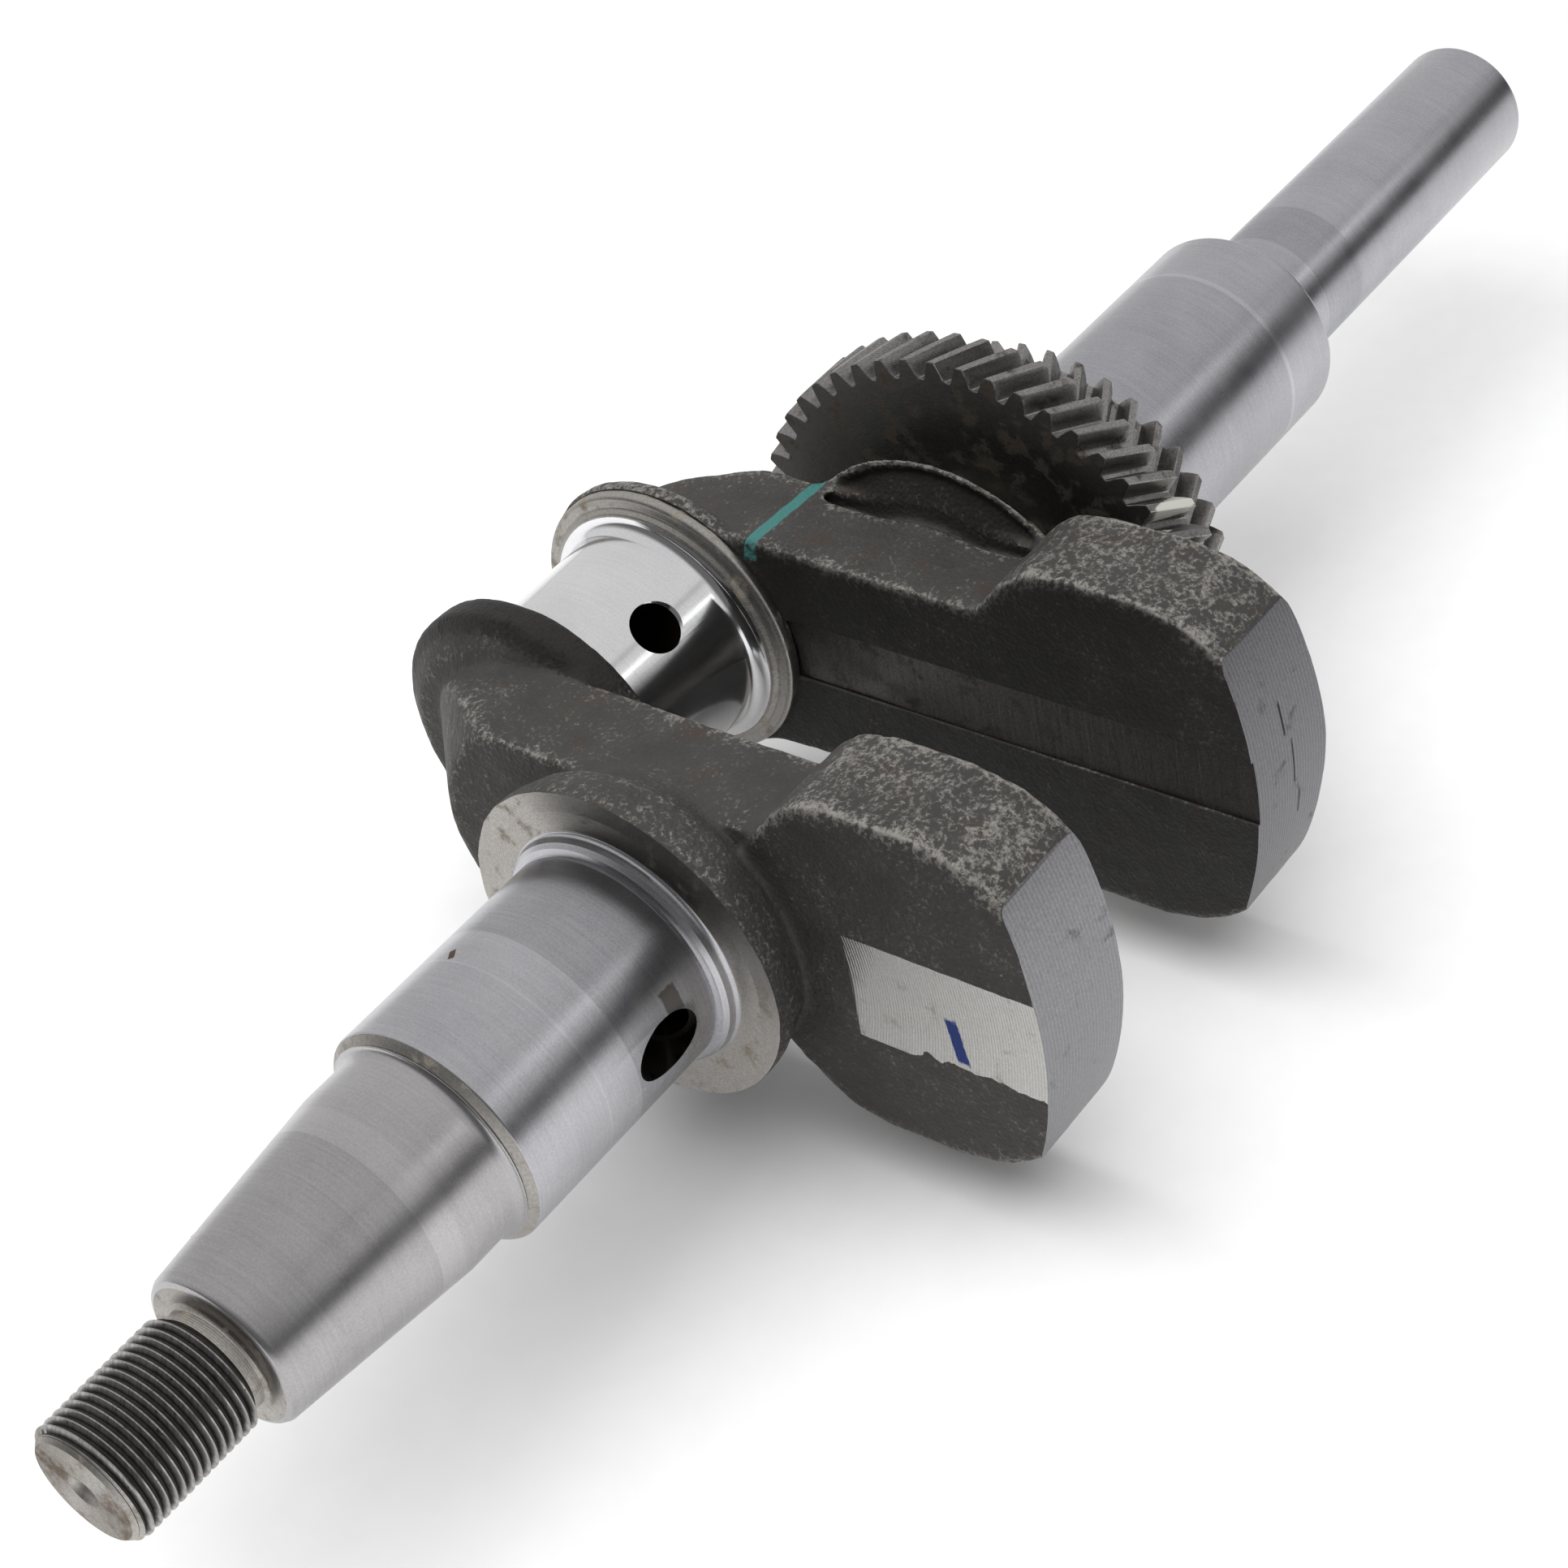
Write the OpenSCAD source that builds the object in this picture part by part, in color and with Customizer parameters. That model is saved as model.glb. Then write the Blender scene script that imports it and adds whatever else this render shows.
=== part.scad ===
// Crankshaft of a small single-cylinder engine: forged shaft, crankpin and webs with two pressed gears.
// X runs along the crank axis towards the power take-off end, Y points at the crankpin, Z is up.
// The origin is on the crank axis, in the middle plane of the crankpin.

/* [Flywheel end] */
// Major diameter of the flywheel nut thread
thread_d = 20; // [16:0.5:22]
// Length from the end face to the taper
thread_len = 25.4; // [18:0.2:30]
// Diameter of the taper at its big end
taper_d = 33; // [30:0.5:36]
// Length of the taper
taper_len = 34; // [28:0.5:40]
// Diameter lost per millimetre of taper, 0.2 for a 1 in 5 cone
taper_rate = 0.2; // [0.1:0.01:0.25]
// Length of the plain land between the taper and the journal
land_len = 9; // [6:0.5:12]

/* [Journals] */
// Diameter of the flywheel side main journal
journal_d = 38; // [36:0.5:40]
// Length of the flywheel side main journal
journal_len = 42; // [36:0.5:46]
// Diameter of the power take-off side main journal
pto_journal_d = 38.2; // [36:0.2:40]
// Distance from the origin to the far end of that journal
pto_journal_end = 129.6; // [110:0.2:140]
// Width of the thrust collar and its step, together
collar_len = 11.4; // [8:0.2:14]
// Diameter of the thrust face
collar_d = 55.4; // [50:0.2:58]

/* [Crank throw] */
// Distance from the crank axis to the crankpin axis, half the stroke
throw = 43.3; // [40:0.1:46]
// Diameter of the crankpin
pin_d = 39.4; // [36:0.2:42]
// Width between the two crankpin cheeks
pin_len = 28; // [24:0.5:32]
// Diameter of the crankpin cheeks
cheek_d = 50.8; // [48:0.2:54]
// Diameter of the oil hole in the crankpin
pin_hole_d = 9; // [5:0.5:10]
// Diameter of the oil drilling from the main journal
gallery_d = 7; // [5:0.5:8]

/* [Webs and counterweights] */
// Inner face of the flywheel side web, measured back from the origin
web_in = 20.9; // [18:0.1:24]
// Inner face of the power take-off side web
pto_web_in = 17.5; // [17:0.1:24]
// Thickness of the webs and counterweights
web_t = 20.8; // [18:0.1:24]
// Width of the webs
web_w = 41; // [38:0.5:44]
// Outer radius of the forged eye around the crankpin
eye_r = 26.4; // [26:0.1:28]
// Turned outer radius of the counterweights
weight_r = 68; // [64:0.5:72]
// Width of the counterweights
weight_w = 60; // [52:0.5:64]

/* [Gears] */
// Teeth on the timing gear
teeth = 50; // [48:1:54]
// Teeth on the balancer gear
balancer_teeth = 38; // [34:1:44]
// Normal module of the teeth
gear_module = 1.5; // [1.25:0.05:1.75]
// Helix angle of the teeth
helix = 27; // [15:1:30]
// Width of the timing gear
timing_w = 9; // [7:0.5:12]
// Width of the balancer gear
balancer_w = 13.9; // [8:0.1:16]
// Bore of both gears
gear_bore = 42; // [40:0.5:50]

/* [Power take-off shaft] */
// Diameter of the output shaft, 25.4 for a one inch shaft
pto_d = 25.4; // [20:0.1:28]
// Length of the output shaft
pto_len = 86.8; // [60:0.2:100]
// Width of the output keyway
keyway_w = 6.35; // [5:0.05:8]
// Length of the output keyway
keyway_len = 62; // [40:1:80]

/* [Hidden] */

$fn = 96;
eps = 0.5;                                   // how far a cutter runs past the face it opens
web_out = web_in + web_t;                    // outer face of the flywheel side web
pto_web_out = pto_web_in + web_t;
collar_x = -web_out - collar_len;            // where the flywheel journal begins
step_len = 2.8;                               // small step beside the journal
step_d = 42;
rough_d = 57;                                // forged ring behind the thrust collar
journal_x = collar_x - journal_len;
land_x = journal_x - land_len;
taper_x = land_x - taper_len;
thread_x = taper_x - thread_len;
taper_small_d = taper_d - taper_len * taper_rate;
boss_len = 7;                                // forged boss between the web and the gears
seat_x = pto_web_out + boss_len;             // gear side face of that boss
gear_gap = 0.2;                              // gap between the two gears
seat_len = timing_w + gear_gap + balancer_w;
seat_end = seat_x + seat_len;
key_t = 5;                                   // width of the gear key and the flywheel key
key_depth = 3;                               // depth of the gear keyway in the seat
key_proud = 2.3;                             // height of the gear key above the seat
woodruff_r = 8;                              // radius of the flywheel key
woodruff_x = land_x - 14;                    // middle of the flywheel key along the taper
woodruff_sink = 1.6;                         // key centre above the taper surface
fit = 0.08;                                  // clearance round the flywheel key
gallery_mouth = -64;                         // where the oil drilling opens on the journal
pin_hole_turn = 132;                         // angle of the crankpin oil hole about the crankpin
neck_y = -21;                                // where web and counterweight meet
weight_side = 34;                            // where the counterweight reaches its full width
weight_tip = 52;                             // where it starts to round off again
flat_low = -11;                              // lower edge, width and depth of the milled balance flat
flat_w = 20;
flat_depth = 0.4;
bevel_y = 34;                                // where the bevel of the webs begins
steel = "#8d8f93";
forged = "#3d3c3b";

// Runs a cylinder along X from x0 to x1
module bar(x0, x1, d) {
    translate([x0, 0, 0]) rotate([0, 90, 0]) cylinder(d = d, h = x1 - x0);
}

// Cone frustum along X from x0 to x1
module cone(x0, x1, d0, d1) {
    translate([x0, 0, 0]) rotate([0, 90, 0]) cylinder(d1 = d0, d2 = d1, h = x1 - x0);
}

// Stands a Y, Z outline up and gives it a thickness along X
module plate(x0, x1) {
    translate([x0, 0, 0]) rotate([90, 0, 90]) linear_extrude(x1 - x0) children();
}

// Points of an arc about (c, d)
function arc(c, d, r, a0, a1, n) = [for (i = [0:n]) [c + r * cos(a0 + (a1 - a0) * i / n),
    d + r * sin(a0 + (a1 - a0) * i / n)]];

// Oil drilling, slanting from the journal through the web to the middle of the crankpin
module gallery() {
    start = [gallery_mouth, -journal_d / 2, 0];
    run = [-gallery_mouth, journal_d / 2 + throw, 0];
    tilt = atan2(run[0], run[1]);
    translate(start) rotate([-90, 0, -tilt]) translate([0, 0, -6]) cylinder(d = gallery_d, h = norm(run) + 4);
}

// Web seen along the shaft: a straight arm and the round eye of the crankpin
module web_outline() {
    translate([neck_y, -web_w / 2]) square([throw - neck_y, web_w]);
    translate([throw, 0]) circle(r = eye_r);
}

// Long bevel that thins a web towards its crankpin end, cut from the outer face
module eye_bevel() {
    bevel_end = throw + eye_r - 4;
    translate([0, 0, -web_w]) linear_extrude(2 * web_w)
        polygon([[web_t + 2, bevel_y - 3], [web_t + 2, bevel_end + 12], [1.5, bevel_end + 12], [1.5, bevel_end],
            [web_t, bevel_y]]);
}

// Half of the counterweight outline, from the neck round the shoulder to the turned rim
function shoulder() = concat(arc(neck_y, web_w / 2 + 5, 5, -90, -140, 5),
    arc(-weight_side, weight_w / 2 - 8, 8, 40, 90, 5), arc(-weight_tip, weight_w / 2 - 9, 9, 90, 146, 5));

// Counterweight seen along the shaft: wide hammer head with a turned rim
module weight_outline() {
    side = shoulder();
    intersection() {
        circle(r = weight_r, $fn = 180);
        polygon(concat(side, [[-weight_r, weight_w / 2 - 6], [-weight_r, 6 - weight_w / 2]],
            [for (i = [len(side) - 1:-1:0]) [side[i][0], -side[i][1]]]));
    }
}

// One helical gear rim of z teeth from x0 on, hand = 1 right, -1 left
module helical_gear(z, x0, width, hand, turn, slices) {
    pitch_r = z * gear_module / cos(helix) / 2;
    tip_r = pitch_r + gear_module;
    root_r = pitch_r - 1.25 * gear_module;
    pitch_a = 360 / z;
    twist = width * tan(helix) / pitch_r * 180 / PI;
    outline = [for (i = [0:z - 1]) for (p = [[root_r, -0.30], [pitch_r, -0.23], [tip_r, -0.11],
        [tip_r, 0.11], [pitch_r, 0.23], [root_r, 0.30]])
        [p[0] * cos((i + p[1]) * pitch_a), p[0] * sin((i + p[1]) * pitch_a)]];
    difference() {
        translate([x0, 0, 0]) rotate([90, 0, 90]) rotate([0, 0, turn])
            linear_extrude(width, twist = -hand * twist, slices = slices) polygon(outline);
        bar(x0 - eps, x0 + width + eps, gear_bore);
        gear_keyway();
    }
}

// Straight slot for the gear key, through the seat and both gears
module gear_keyway() {
    translate([seat_x - eps, gear_bore / 2 - key_depth, -key_t / 2])
        cube([seat_len + 2 * eps, key_depth + key_proud + 0.2, key_t]);
}

// Half-moon pocket of the flywheel key, or the disc that the key is cut from
module woodruff(r, t) {
    surface_r = (taper_d - (land_x - woodruff_x) * taper_rate) / 2;
    translate([woodruff_x, surface_r + woodruff_sink, -t / 2]) cylinder(r = r, h = t);
}

// Threaded end, at its major diameter, with a relief groove and a centre drilling
module threaded_end() {
    color("#6f6c68") difference() {
        union() {
            cone(thread_x, thread_x + 1.5, thread_d - 3, thread_d);
            bar(thread_x + 1.5, taper_x - 3, thread_d);
            bar(taper_x - 3, taper_x, thread_d - 3);
        }
        cone(thread_x - 0.01, thread_x + 3, 8, 3);
        bar(thread_x + 2, thread_x + 6, 3);
    }
}

// Flywheel taper with the half-moon pocket, and the plain land behind it
module flywheel_taper() {
    color(steel) difference() {
        union() {
            cone(taper_x, land_x, taper_small_d, taper_d);
            bar(land_x, journal_x - 3, taper_d);
            bar(journal_x - 3, journal_x, taper_d + 1);
        }
        woodruff(woodruff_r, key_t);
    }
}

// Flywheel side main journal with the mouth of the oil drilling
module flywheel_journal() {
    color(steel) difference() {
        union() {
            cone(journal_x, journal_x + 1.5, journal_d - 3, journal_d);
            bar(journal_x + 1.5, collar_x, journal_d);
        }
        gallery();
    }
}

// Step, thrust face and the forged ring behind it
module thrust_collar() {
    color("#a49f95") difference() {
        union() {
            bar(collar_x, collar_x + step_len, step_d);
            bar(collar_x + step_len, collar_x + step_len + 3, collar_d);
            bar(collar_x + step_len + 3, -web_out, rough_d);
        }
        gallery();
    }
}

// Flywheel side web, with the cheek that the connecting rod runs against
module flywheel_web() {
    color(forged) difference() {
        union() {
            plate(-web_out, -web_in) web_outline();
            translate([0, throw, 0]) bar(-web_in, -pin_len / 2, cheek_d);
        }
        translate([-web_in, 0, 0]) mirror([1, 0, 0]) eye_bevel();
        gallery();
    }
}

// Flywheel side counterweight with its shallow milled balance flat
module flywheel_counterweight() {
    color(forged) difference() {
        plate(-web_out, -web_in) weight_outline();
        translate([-web_out - eps, -weight_r, flat_low]) cube([eps + flat_depth, weight_r - 35, flat_w]);
    }
}

// Crankpin with its oil hole
module crankpin() {
    color("#b9bbbf") difference() {
        translate([0, throw, 0]) bar(-pin_len / 2, pin_len / 2, pin_d);
        gallery();
        translate([0, throw, 0]) rotate([pin_hole_turn - 90, 0, 0]) cylinder(d = pin_hole_d, h = pin_d);
    }
}

// Power take-off side web, with its cheek
module pto_web() {
    color(forged) difference() {
        union() {
            plate(pto_web_in, pto_web_out) web_outline();
            translate([0, throw, 0]) bar(pin_len / 2, pto_web_in, cheek_d);
        }
        translate([pto_web_in, 0, 0]) eye_bevel();
    }
}

// Power take-off side counterweight
module pto_counterweight() {
    color(forged) plate(pto_web_in, pto_web_out) weight_outline();
}

// Forged boss and the ground seat that carries both gears
module gear_seat() {
    color(steel) difference() {
        union() {
            bar(pto_web_out, seat_x, rough_d);
            bar(seat_x, seat_end, gear_bore);
        }
        gear_keyway();
    }
}

// Power take-off side main journal
module pto_journal() {
    color(steel) union() {
        bar(seat_end, pto_journal_end - 1, pto_journal_d);
        cone(pto_journal_end - 1, pto_journal_end, pto_journal_d, pto_journal_d - 2);
    }
}

// Output shaft with keyway and tapped end
module pto_shaft() {
    end = pto_journal_end + pto_len;
    color(steel) difference() {
        union() {
            bar(pto_journal_end, end - 1.5, pto_d);
            cone(end - 1.5, end, pto_d, pto_d - 3);
        }
        translate([end - keyway_len, pto_d / 2 - 3.2, -keyway_w / 2]) cube([keyway_len + eps, 4, keyway_w]);
        bar(end - 32, end + eps, 8.5);
    }
}

// Right-hand gear that drives the camshaft
module timing_gear() {
    color("#77787a") helical_gear(teeth, seat_x, timing_w, 1, 0, 3);
}

// Smaller left-hand gear beside it
module balancer_gear() {
    color("#77787a") helical_gear(balancer_teeth, seat_x + timing_w + gear_gap, balancer_w, -1, 5, 5);
}

// Straight key that locks both gears to the shaft
module gear_key() {
    color("#6a6a6a") translate([seat_x, gear_bore / 2 - key_depth, -key_t / 2])
        cube([seat_len, key_depth + key_proud, key_t]);
}

// Half-moon flywheel key
module flywheel_key() {
    surface_r = (taper_d - (land_x - woodruff_x) * taper_rate) / 2;
    color("#6a6a6a") difference() {
        woodruff(woodruff_r - fit, key_t - 2 * fit);
        translate([woodruff_x - 10, surface_r + 1.6, -key_t]) cube([20, 10, 2 * key_t]);
    }
}

threaded_end();
flywheel_taper();
flywheel_journal();
thrust_collar();
flywheel_web();
flywheel_counterweight();
crankpin();
pto_web();
pto_counterweight();
gear_seat();
pto_journal();
pto_shaft();
timing_gear();
balancer_gear();
gear_key();
flywheel_key();
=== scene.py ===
# %% [markdown]
# # A forged crankshaft
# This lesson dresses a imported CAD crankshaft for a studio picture. The real part is one steel forging with
# two hobbed gears pressed on. Its journals are ground bright, its webs keep the black scale of the forge,
# and a few turned or milled spots show fresh metal. The CAD model fixes every size, so each piece below
# starts by asking the frame where it belongs, and then adds the fillets, threads, rough skin and edges that
# a CAD model leaves out.

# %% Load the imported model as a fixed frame
import math
import bpy
from mathutils import Matrix, Vector


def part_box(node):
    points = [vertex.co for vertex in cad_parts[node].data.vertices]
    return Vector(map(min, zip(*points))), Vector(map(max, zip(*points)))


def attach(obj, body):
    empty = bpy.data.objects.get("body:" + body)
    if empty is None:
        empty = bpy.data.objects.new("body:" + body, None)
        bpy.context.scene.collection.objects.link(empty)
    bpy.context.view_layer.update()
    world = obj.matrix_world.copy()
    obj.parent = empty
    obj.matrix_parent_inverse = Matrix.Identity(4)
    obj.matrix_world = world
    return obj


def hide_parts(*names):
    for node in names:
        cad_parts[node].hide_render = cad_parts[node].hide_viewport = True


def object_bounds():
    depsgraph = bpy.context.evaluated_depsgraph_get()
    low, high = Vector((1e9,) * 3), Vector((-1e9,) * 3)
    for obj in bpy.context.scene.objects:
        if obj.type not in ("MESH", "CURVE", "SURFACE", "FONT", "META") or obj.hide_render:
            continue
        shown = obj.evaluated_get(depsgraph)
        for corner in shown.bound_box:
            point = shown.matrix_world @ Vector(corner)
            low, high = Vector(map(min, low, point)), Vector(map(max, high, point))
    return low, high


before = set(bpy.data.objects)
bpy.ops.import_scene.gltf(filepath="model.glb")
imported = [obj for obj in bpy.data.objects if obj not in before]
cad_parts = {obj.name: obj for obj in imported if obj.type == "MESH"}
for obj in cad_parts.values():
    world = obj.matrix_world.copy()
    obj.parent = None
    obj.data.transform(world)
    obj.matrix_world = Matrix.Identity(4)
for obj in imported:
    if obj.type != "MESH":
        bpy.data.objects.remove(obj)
cad_low, cad_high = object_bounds()
mm = 0.001
print("CAD box in mm", [round(v / mm, 1) for v in (*cad_low, *cad_high)])

# %% [markdown]
# ## Sizes from the frame
# A CAD node's box gives its two ends along X and its radius. Reading them here, and never typing them
# again, means that the looks follow the design if a size changes.

# %% Ends and radii of the CAD nodes
def ends(node):
    """A node's start and end along X, and its radius."""
    low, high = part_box(node)
    return low[0], high[0], high[2]


thread_start, thread_end, thread_r = ends("threaded_end")
taper_start, land_end, land_r = ends("flywheel_taper")
journal_start, journal_end, journal_r = ends("flywheel_journal")
collar_start, _, ring_r = ends("thrust_collar")
pin_start, pin_end, pin_r = ends("crankpin")
seat_start, seat_end, _ = ends("gear_seat")
timing_start, timing_end, timing_tip_r = ends("timing_gear")
second_start, second_end, second_tip_r = ends("balancer_gear")
pto_journal_start, pto_journal_end, pto_journal_r = ends("pto_journal")
pto_start, pto_end, pto_r = ends("pto_shaft")
throw = (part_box("crankpin")[0][1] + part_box("crankpin")[1][1]) / 2
weight_r = -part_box("flywheel_counterweight")[0][1]
web_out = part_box("flywheel_counterweight")[0][0]
web_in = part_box("flywheel_counterweight")[1][0]
pto_web_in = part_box("pto_counterweight")[0][0]
pto_web_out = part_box("pto_counterweight")[1][0]
print("throw", round(throw / mm, 2), "counterweight radius", round(weight_r / mm, 2))

# %% [markdown]
# ## A way to build node trees
# Every finish, and the light of the room too, is a node tree. The finishes work on Object coordinates, so
# that a pattern keeps its real size in millimetres. One small function adds a node with its settings and
# links and hands back the output that is wanted, and a second one turns a hex colour, as a paint chart
# gives it, into linear light. The settings that many nodes share are kept under short names.

# %% Node and colour helpers
smooth = {"interpolation_type": "SMOOTHSTEP"}
mix = {"data_type": "RGBA"}
multiply = {"data_type": "RGBA", "blend_type": "MULTIPLY"}
times_plus = {"operation": "MULTIPLY_ADD"}
highest = {"operation": "MAXIMUM"}
dot = {"operation": "DOT_PRODUCT"}


def linear(code):
    """The linear colour of an sRGB hex code."""
    values = [int(code[i:i + 2], 16) / 255 for i in (1, 3, 5)]
    return (*[v / 12.92 if v <= 0.04045 else ((v + 0.055) / 1.055) ** 2.4 for v in values], 1)


def add(tree, kind, settings, sockets, output=0):
    """settings are the node's own; sockets are its inputs: a value, or another node's output."""
    node = tree.nodes.new("ShaderNode" + kind)
    for key, value in settings.items():
        setattr(node, key, value)
    for key, value in sockets.items():
        if isinstance(value, bpy.types.NodeSocket):
            tree.links.new(value, node.inputs[key])
        else:
            node.inputs[key].default_value = value
    return node.outputs[output]


def finish_for(name, metallic, roughness, anisotropic=0.0):
    """A new material with its constants set, and its tree, its shader and the place on the object."""
    material = bpy.data.materials.new(name)
    material.use_nodes = True
    tree = material.node_tree
    shader = tree.nodes["Principled BSDF"]
    shader.inputs["Metallic"].default_value = metallic
    shader.inputs["Roughness"].default_value = roughness
    if anisotropic:
        shader.inputs["Anisotropic"].default_value = anisotropic
        tangent = add(tree, "Tangent", {"direction_type": "RADIAL", "axis": "X"}, {})
        tree.links.new(tangent, shader.inputs["Tangent"])
    return material, tree, shader, add(tree, "TexCoord", {}, {}, "Object")


print("black and white in linear light", linear("#000000")[0], linear("#ffffff")[0])


# %% [markdown]
# ## Camera and studio
# The camera looks down along the shaft from the threaded end, close enough that the far end shrinks. Round
# steel is a mirror, and from here every shaft mirrors only what lies further along +X, so the light comes
# in two parts. A large soft panel overhead whitens the floor and the tops and is kept out of the
# reflections. What the shafts do show is the room: an even pale dome that turns dark near the horizon on
# one side, which draws the dark streak along each shaft, and one thin strip light, which draws the bright
# line beside it. The room is dim behind the camera, so that faces turned to the camera stay darker than the
# tops.

# %% Camera
def look_from(place, heading, drop, roll, lens):
    """The scene's camera: heading is measured from +X, and drop is how far it looks down."""
    level = math.cos(drop)
    forward = Vector((math.cos(heading) * level, math.sin(heading) * level, -math.sin(drop)))
    turn = forward.to_track_quat("-Z", "Y").to_matrix() @ Matrix.Rotation(roll, 3, "Z")
    data = bpy.data.cameras.new("camera")
    data.lens = lens
    data.sensor_width = 36
    data.clip_start = 0.01
    camera = bpy.data.objects.new("camera", data)
    camera.matrix_world = Matrix.Translation(place) @ turn.to_4x4()
    bpy.context.scene.collection.objects.link(camera)
    bpy.context.scene.camera = camera
    return camera


camera = look_from((-0.2807, -0.2628, 0.3069), heading=math.radians(44.17), drop=math.radians(39.09),
                   roll=math.radians(-12.17), lens=71.86)
print("camera at", [round(v, 3) for v in camera.location])

# %% Floor, world and lights
def deselect():
    """Leaves edit mode and selects nothing, because an operator acts on all that is selected."""
    if bpy.context.mode != "OBJECT":
        bpy.ops.object.mode_set(mode="OBJECT")
    bpy.ops.object.select_all(action="DESELECT")


def soft_light(name, place, aim, size, power):
    """A rectangular area light that looks from its place at the aim point."""
    data = bpy.data.lights.new(name, "AREA")
    data.shape = "RECTANGLE"
    data.size, data.size_y = size
    data.energy = power
    light = bpy.data.objects.new(name, data)
    light.location = place
    light.rotation_euler = (Vector(aim) - Vector(place)).to_track_quat("-Z", "Y").to_euler()
    bpy.context.scene.collection.objects.link(light)
    return light


deselect()
bpy.ops.mesh.primitive_plane_add(size=6, location=(0, 0, cad_low[2]))
floor = bpy.context.object
floor.name = "floor"
# Matt paper: an even near white, on which only soft shadows show.
paper = bpy.data.materials.new("matt_paper")
paper.use_nodes = True
floor.data.materials.append(paper)
tree = paper.node_tree
fibres = add(tree, "TexNoise", {}, {"Scale": 900.0, "Detail": 2.0})
fibres = add(tree, "Mix", mix, {0: fibres, 6: linear("#f1f1f1"), 7: linear("#f6f6f6")}, 2)
tree.links.new(fibres, tree.nodes["Principled BSDF"].inputs["Base Color"])
tree.nodes["Principled BSDF"].inputs["Roughness"].default_value = 0.9
bpy.context.scene.view_settings.view_transform = "Standard"
overhead = soft_light("overhead", (-0.3, 0.0, 1.0), (-0.3, 0.0, 0), (1.0, 1.7), 14)
overhead.visible_glossy = False
soft_light("line_light", (0.58, -0.64, 0.52), (0.58, 0, 0), (0.9, 0.05), 0.2)
print("floor at", round(floor.location.z / mm, 1), "mm")

# %% Room light
world = bpy.data.worlds.new("studio")
bpy.context.scene.world = world
world.use_nodes = True
room = world.node_tree
way = add(room, "TexCoord", {}, {}, "Generated")
height = add(room, "VectorMath", dot, {0: way, 1: (0, 0, 1)}, "Value")
side = add(room, "VectorMath", dot, {0: way, 1: (0.25, -1, 0)}, "Value")
low_part = add(room, "MapRange", smooth, {0: height, 1: 0.2, 2: 0.42, 3: 1.0, 4: 0.0})
dark_side = add(room, "MapRange", smooth, {0: side, 1: 0.1, 2: 0.6, 3: 0.0, 4: 1.0})
dark = add(room, "Math", {"operation": "MULTIPLY"}, {0: low_part, 1: dark_side})
back = add(room, "VectorMath", dot, {0: way, 1: (-1, -0.2, -0.35)}, "Value")
back = add(room, "MapRange", smooth, {0: back, 1: 0.0, 2: 0.5, 3: 0.0, 4: 0.85})
dark = add(room, "Math", highest, {0: dark, 1: back})
seam = add(room, "VectorMath", dot, {0: way, 1: (0, 0.79, 0.61)}, "Value")
seam = add(room, "MapRange", smooth,
           {0: add(room, "Math", {"operation": "ABSOLUTE"}, {0: seam}), 1: 0.0, 2: 0.07, 3: 0.35, 4: 0.0})
dark = add(room, "Math", highest, {0: dark, 1: seam})
glow = add(room, "MapRange", {}, {0: dark, 1: 0.0, 2: 1.0, 3: 0.74, 4: 0.05})
room.nodes["Background"].inputs["Color"].default_value = (1, 1, 1, 1)
room.links.new(glow, room.nodes["Background"].inputs["Strength"])
print("lights", [light.name for light in bpy.data.lights])

# %% [markdown]
# ## Turned pieces
# Most of a crankshaft comes off a lathe and a grinder, so most of it is a profile turned about one axis. A
# curve with a Screw modifier would work too. Here each shaft starts as a filled circle that is extruded
# along X from station to station and resized at each one, which keeps every shoulder, chamfer and fillet on
# view as a plain pair of numbers: a place along the shaft and a radius.

# %% Selecting and turning
def only(piece):
    """Makes the piece the only selected one, and the active one."""
    deselect()
    piece.select_set(True)
    bpy.context.view_layer.objects.active = piece


def settle():
    """Puts the active object's place, turn and scale into its mesh."""
    bpy.ops.object.transform_apply(location=True, rotation=True, scale=True)


def edit_all():
    """Opens the active piece in edit mode with all of it selected."""
    bpy.ops.object.mode_set(mode="EDIT")
    bpy.ops.mesh.select_all(action="SELECT")


def close_outwards():
    """Turns every face outwards and leaves edit mode."""
    bpy.ops.mesh.select_all(action="SELECT")
    bpy.ops.mesh.normals_make_consistent(inside=False)
    bpy.ops.object.mode_set(mode="OBJECT")


def turned(name, stations, sides=192, axis_y=0.0):
    """A closed solid turned about X, or about a parallel axis at axis_y."""
    deselect()
    x, r = stations[0]
    bpy.ops.mesh.primitive_circle_add(vertices=sides, radius=r, fill_type="NGON", location=(x, axis_y, 0),
                                      rotation=(0, math.pi / 2, 0))
    piece = bpy.context.object
    piece.name = name
    settle()
    edit_all()
    for next_x, next_r in stations[1:]:
        bpy.ops.mesh.extrude_region_move(TRANSFORM_OT_translate={"value": (next_x - x, 0, 0)})
        bpy.ops.transform.resize(value=(1, next_r / r, next_r / r), center_override=(next_x, axis_y, 0))
        x, r = next_x, next_r
    close_outwards()
    return piece


def hollow(x, r, size_x, size_r, steps=6):
    """Stations of a hollow quarter round, a fillet, from (x, r) to (x + size_x, r + size_r)."""
    made = []
    for i in range(steps + 1):
        a = math.pi / 2 * i / steps
        made.append((x + size_x * math.sin(a), r + size_r * (1 - math.cos(a))))
    return made


print("a 1 mm fillet takes", len(hollow(0, 0, mm, mm)), "stations")

# %% [markdown]
# ## Drilling, milling and joining
# A modifier that is applied at once is the same as a machining step: it changes the mesh for good and
# nothing is left live. The drills and cutters are plain solids that vanish when their cut is done.

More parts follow.
